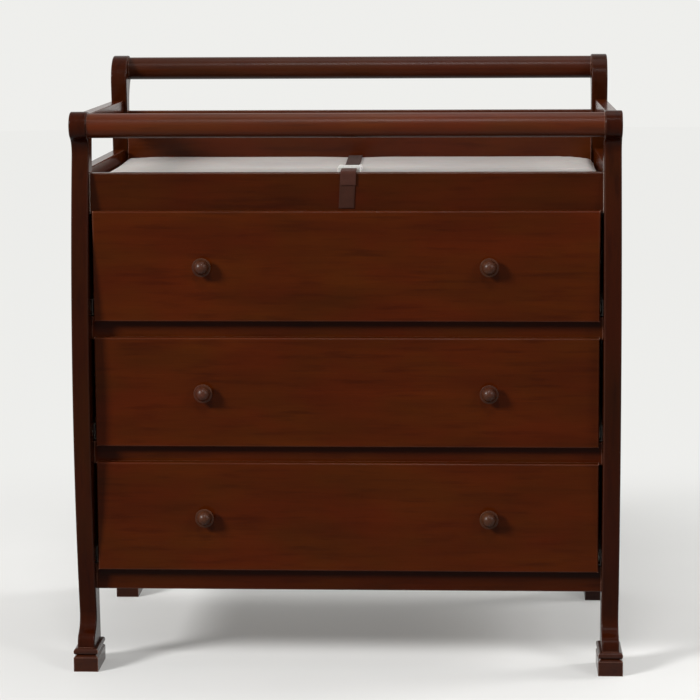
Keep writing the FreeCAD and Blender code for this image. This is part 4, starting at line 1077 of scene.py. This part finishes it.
def spot_on(marks: Sequence[float], distance: float) -> tuple[int, float]:
    """Which stretch of a line a distance falls in.

    Args:
        marks: distance at each of the line's points.
        distance: the distance along the line.

    Returns:
        The stretch's number, and how far into it the distance lies, from 0 to 1.
    """
    stretch = max(i for i, mark in enumerate(marks[:-1]) if mark <= distance + TINY)
    return stretch, (distance - marks[stretch]) / max(marks[stretch + 1] - marks[stretch], TINY)


def between(start: float, end: float, part: float) -> float:
    """A value part of the way from one to another.

    Args:
        start: the value at 0.
        end: the value at 1.
        part: how far along.

    Returns:
        The value there.
    """
    return start * (1 - part) + end * part


@dataclass
class Strap:
    """One length of the safety strap: flat webbing laid along a path of (y, z) points.

    The lean is the webbing's middle in x at each point of the path.
    """

    hand: Hand
    path: tuple[Point, ...]
    lean: tuple[float, ...]
    shade: Colour
    light: Colour
    hem: bool = False
    width: float = 0.025
    gauge: float = 0.0014
    bend: float = 0.0022
    bend_reach: float = 1.6
    bend_steps: int = 6
    step: float = 0.003
    columns: int = 8
    hem_edge: float = 0.0004

    def rounded(self) -> list[Point]:
        """The path's corners rounded off and cut into short steps.

        Returns:
            Points along the path.
        """
        corners: list[Point] = [self.path[0]]
        most = 0.45
        for before, here, after in zip(self.path, self.path[1:], self.path[2:]):
            to_last = Vector((before[0] - here[0], before[1] - here[1]))
            to_next = Vector((after[0] - here[0], after[1] - here[1]))
            cut = min(self.bend * self.bend_reach, to_last.length * most, to_next.length * most)
            start = Vector(here) + to_last.normalized() * cut
            end = Vector(here) + to_next.normalized() * cut
            for part in range(self.bend_steps + 1):
                t = part / self.bend_steps
                spot = start * (1 - t) ** 2 + Vector(here) * 2 * t * (1 - t) + end * t**2
                corners.append((spot.x, spot.y))
        corners.append(self.path[-1])
        return corners

    def build(self) -> None:
        """Lay the webbing along its path."""
        name = "webbing_hem" if self.hem else f"webbing_{self.hand.name.lower()}"
        line = self.rounded()
        marks = marks_along(line)
        total = marks[-1]
        let_go()
        rows = int(total / self.step)
        bpy.ops.mesh.primitive_grid_add(x_subdivisions=self.columns, y_subdivisions=rows, size=1.0)
        piece = bpy.context.object
        piece.name = name
        piece.data.name = name
        corners = marks_along(self.path)
        for corner in piece.data.vertices:
            along = (corner.co.y + 0.5) * total
            side = corner.co.x * self.width
            index, part = spot_on(marks, along)
            y, z = (between(line[index][i], line[index + 1][i], part) for i in (0, 1))
            stop, part = spot_on(corners, along / total * corners[-1])
            x = between(self.lean[stop], self.lean[stop + 1], part)
            corner.co = Vector((x + side, y, z))
        finish_modifier(piece, "SOLIDIFY", thickness=self.gauge, offset=0.0)
        finish_modifier(piece, "BEVEL", width=self.hem_edge, segments=2, limit_method="ANGLE")
        pick(piece)
        bpy.ops.object.shade_smooth_by_angle(angle=math.radians(40))
        finish = Webbing(name, self.shade, self.light, self.width, total).material()
        hand_over(piece, "frame", finish)
        if self.hem:
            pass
        else:
            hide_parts(f"strap_{self.hand.name.lower()}")


@dataclass
class SafetyStrap:
    """The strap's three lengths of webbing and its buckle."""

    nodes: dict[str, Piece]
    top: float
    lay: float = 0.0011
    bar: float = 0.0063
    hem_lay: float = 0.0080

    def front(self) -> Strap:
        """The length from behind the apron over the pad, round the bar and back out.

        Returns:
            The strap's front length.
        """
        pad, bar = self.top + self.lay, self.top + self.bar
        path = (
            (-0.2279, 0.796), (-0.2279, 0.8192), (-0.2210, pad), (-0.1729, pad),
            (-0.1729, bar), (-0.2050, bar), (-0.2118, 0.8271), (-0.2461, 0.8271), (-0.2461, 0.768),
        )
        lean = (0.0035, 0.0035, 0.0035, 0.0028, 0.0028, 0.0032, 0.0034, 0.0045, 0.0015)
        return Strap(Hand.FRONT, path, lean, (0.024, 0.0078, 0.0046), (0.046, 0.0162, 0.0100))

    def hem(self) -> Strap:
        """The folded end that lies on the front length.

        Returns:
            The second layer.
        """
        over = self.top + self.hem_lay
        path = (
            (-0.1800, over), (-0.2055, over), (-0.2118, 0.8289), (-0.2479, 0.8289),
            (-0.2479, 0.8055),
        )
        lean = (0.0032, 0.0040, 0.0042, 0.0052, 0.0046)
        # The hem's webbing is painted lighter than the front length it lies on, though both are
        # one strap: painted light.
        dark, light = (0.034, 0.0118, 0.0080), (0.066, 0.0245, 0.0170)
        return Strap(Hand.FRONT, path, lean, dark, light, hem=True, bend=0.0026)

    def back(self) -> Strap:
        """The length from the back board over the pad to the buckle.

        Returns:
            The strap's back length.
        """
        pad, bar = self.top + self.lay, self.top + self.bar
        path = (
            (0.2109, 0.796), (0.2109, 0.8185), (0.2000, pad), (-0.1041, pad),
            (-0.1041, bar), (-0.0950, bar), (-0.0801, self.top + 0.0058),
        )
        lean = (-0.0040, -0.0045, -0.0045, 0.0028, 0.0028, 0.0030, 0.0034)
        # The back length's webbing is painted darker than the front length, though both are one
        # strap: painted shade.
        return Strap(Hand.BACK, path, lean, (0.020, 0.0065, 0.0040), (0.036, 0.0130, 0.0085))

    def build(self) -> None:
        """Lay the webbing and finish the buckle's two halves."""
        for length in (self.front(), self.hem(), self.back()):
            length.build()
        plastic = Moulding("buckle_plastic", (0.72, 0.71, 0.68), (0.80, 0.79, 0.76), 0.28)
        paint(self.nodes, ["buckle_socket", "buckle_plug"], plastic.material())


@dataclass
class Light:
    """A soft studio lamp."""

    name: str
    place: Point3
    target: Point3
    size: float
    power: float

    def build(self) -> None:
        """Hang the lamp and aim it."""
        let_go()
        bpy.ops.object.light_add(type="AREA", location=self.place)
        lamp = bpy.context.object
        lamp.name = self.name
        lamp.data.shape = "DISK"
        lamp.data.size = self.size
        lamp.data.energy = self.power
        aim = Vector(self.target) - Vector(self.place)
        lamp.rotation_euler = aim.to_track_quat("-Z", "Y").to_euler()


@dataclass
class Studio:
    """Pale floor, soft lamps, world and camera."""

    lamps: tuple[Light, ...]
    camera_place: Point3
    yaw: float
    pitch: float
    roll: float
    focal: float
    principal: Point
    frame_size: int = 700
    backdrop: Colour = (0.86, 0.86, 0.84)
    dim: float = 0.10
    bright: float = 0.75
    horizon: Span = (-0.35, 0.45)
    floor_radius: float = 14.0
    fade: Span = (0.75, 1.7)
    # Share of emission in the floor, near the dresser and far off; near it, painted light that
    # lifts the cast shadow.
    glow: Span = (0.22, 0.97)
    far_clip: float = 60.0

    def floor(self) -> None:
        """Lay a wide pale floor that shades off smoothly, with emission mixed in for camera and
        glossy rays: a little near the dresser, a painted light that lifts its cast shadow, and
        nearly all far off, where it meets the pale backdrop.
        """
        let_go()
        bpy.ops.mesh.primitive_circle_add(vertices=96, radius=self.floor_radius, fill_type="NGON")
        ground = bpy.context.object
        ground.name = "studio_floor"
        recipe = Recipe("floor_paint")
        place = recipe.place()
        mottle = recipe.speckle(place, (3.0, 3.0, 3.0), 3.0, 0.5)
        pale = recipe.tones(mottle, (0.60, 0.597, 0.586), (0.625, 0.621, 0.610))
        tan = recipe.tones(mottle, (0.13, 0.095, 0.065), (0.16, 0.115, 0.08))
        seen = backdrop_rays(recipe.tree)
        recipe.join(recipe.blend(seen, tan, pale, "MIX"), recipe.shader.inputs["Base Color"])
        recipe.gloss(Roughness=0.9, Specular_IOR_Level=0.1)
        away = recipe.add("ShaderNodeVectorMath", operation="LENGTH")
        recipe.join(place, away.inputs[0])
        fade = map_range(recipe.tree, away.outputs["Value"], self.fade, self.glow, "SMOOTHSTEP")
        far = recipe.add("ShaderNodeMath", operation="MULTIPLY")
        recipe.join(fade, far.inputs[0])
        recipe.join(seen, far.inputs[1])
        glow = recipe.add("ShaderNodeEmission")
        glow.inputs["Color"].default_value = (*self.backdrop, 1.0)
        mix = recipe.add("ShaderNodeMixShader")
        recipe.join(far.outputs[0], mix.inputs[0])
        recipe.join(recipe.shader.outputs["BSDF"], mix.inputs[1])
        recipe.join(glow.outputs[0], mix.inputs[2])
        recipe.join(mix.outputs[0], recipe.surface)
        ground.data.materials.append(recipe.material)

    def world(self) -> None:
        """Pale where the camera sees it; dim in front of the dresser and bright behind it."""
        world = bpy.data.worlds.new("studio_world")
        bpy.context.scene.world = world
        world.use_nodes = True
        tree = world.node_tree
        tree.nodes.clear()
        output = tree.nodes.new("ShaderNodeOutputWorld")
        soft, pale = (tree.nodes.new("ShaderNodeBackground") for _ in range(2))
        for light in (soft, pale):
            light.inputs["Color"].default_value = (*self.backdrop, 1.0)
        split = tree.nodes.new("ShaderNodeSeparateXYZ")
        mix = tree.nodes.new("ShaderNodeMixShader")
        way = tree.nodes.new("ShaderNodeTexCoord").outputs["Generated"]
        tree.links.new(way, split.inputs[0])
        levels = (self.dim, self.bright)
        level = map_range(tree, split.outputs["Y"], self.horizon, levels, "SMOOTHSTEP")
        tree.links.new(level, soft.inputs["Strength"])
        tree.links.new(backdrop_rays(tree), mix.inputs[0])
        tree.links.new(soft.outputs[0], mix.inputs[1])
        tree.links.new(pale.outputs[0], mix.inputs[2])
        tree.links.new(mix.outputs[0], output.inputs["Surface"])

    def camera(self) -> None:
        """Stand the camera where the photograph was taken from."""
        let_go()
        bpy.ops.object.camera_add(location=self.camera_place)
        camera = bpy.context.object
        camera.name = "studio_camera"
        yaw, pitch, roll = (math.radians(angle) for angle in (self.yaw, self.pitch, self.roll))
        flat = math.cos(pitch)
        ahead = Vector((math.sin(yaw) * flat, math.cos(yaw) * flat, -math.sin(pitch)))
        right = Vector((math.cos(yaw), -math.sin(yaw), 0.0))
        up = right.cross(ahead)
        tilted = right * math.cos(roll) + up * math.sin(roll)
        upright = up * math.cos(roll) - right * math.sin(roll)
        turn = Matrix((tilted, upright, -ahead)).transposed()
        camera.rotation_euler = turn.to_euler()
        camera.data.sensor_width = SENSOR_WIDTH
        camera.data.lens = self.focal / self.frame_size * SENSOR_WIDTH
        camera.data.shift_x = (self.frame_size / 2 - self.principal[0]) / self.frame_size
        camera.data.shift_y = (self.principal[1] - self.frame_size / 2) / self.frame_size
        camera.data.clip_end = self.far_clip
        bpy.context.scene.camera = camera

    def build(self) -> None:
        """Set up the studio."""
        bpy.context.scene.view_settings.view_transform = "Standard"
        self.floor()
        self.world()
        for lamp in self.lamps:
            lamp.build()
        self.camera()


def main() -> None:
    """Load the frame, dress it, and set up the studio."""
    logging.basicConfig(level=logging.INFO, format="%(name)s %(message)s")
    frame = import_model()
    nodes = frame["nodes"]

    carcass = Carcass(nodes)
    carcass.dress()
    DrawerStack(nodes, carcass).dress()

    low, high = (tuple(float(value) for value in corner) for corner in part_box("changing_pad"))
    ChangingPad(low, high).build()
    SafetyStrap(nodes, high[2]).build()

    Studio(
        lamps=(
            Light("key_lamp", (-5.6, -4.6, 4.1), (0.0, -0.2, 0.5), 2.0, 800.0),
            Light("front_lamp", (0.0, -2.9, 4.0), (0.0, -0.2, 0.7), 1.0, 60.0),
            Light("side_lamp", (2.7, -2.6, 2.4), (0.0, -0.2, 0.5), 1.2, 46.0),
            Light("right_lamp", (4.2, 1.0, 2.2), (0.0, 0.0, 0.5), 1.6, 120.0),
            Light("top_lamp", (0.2, 0.1, 3.2), (0.0, 0.0, 0.6), 1.6, 14.0),
        ),
        camera_place=(0.2123, -4.2526, 1.1536),
        yaw=-2.937,
        pitch=7.153,
        roll=-0.329,
        focal=2474.4,
        principal=(350.0, 280.0),
    ).build()


if __name__ == "__main__":
    main()
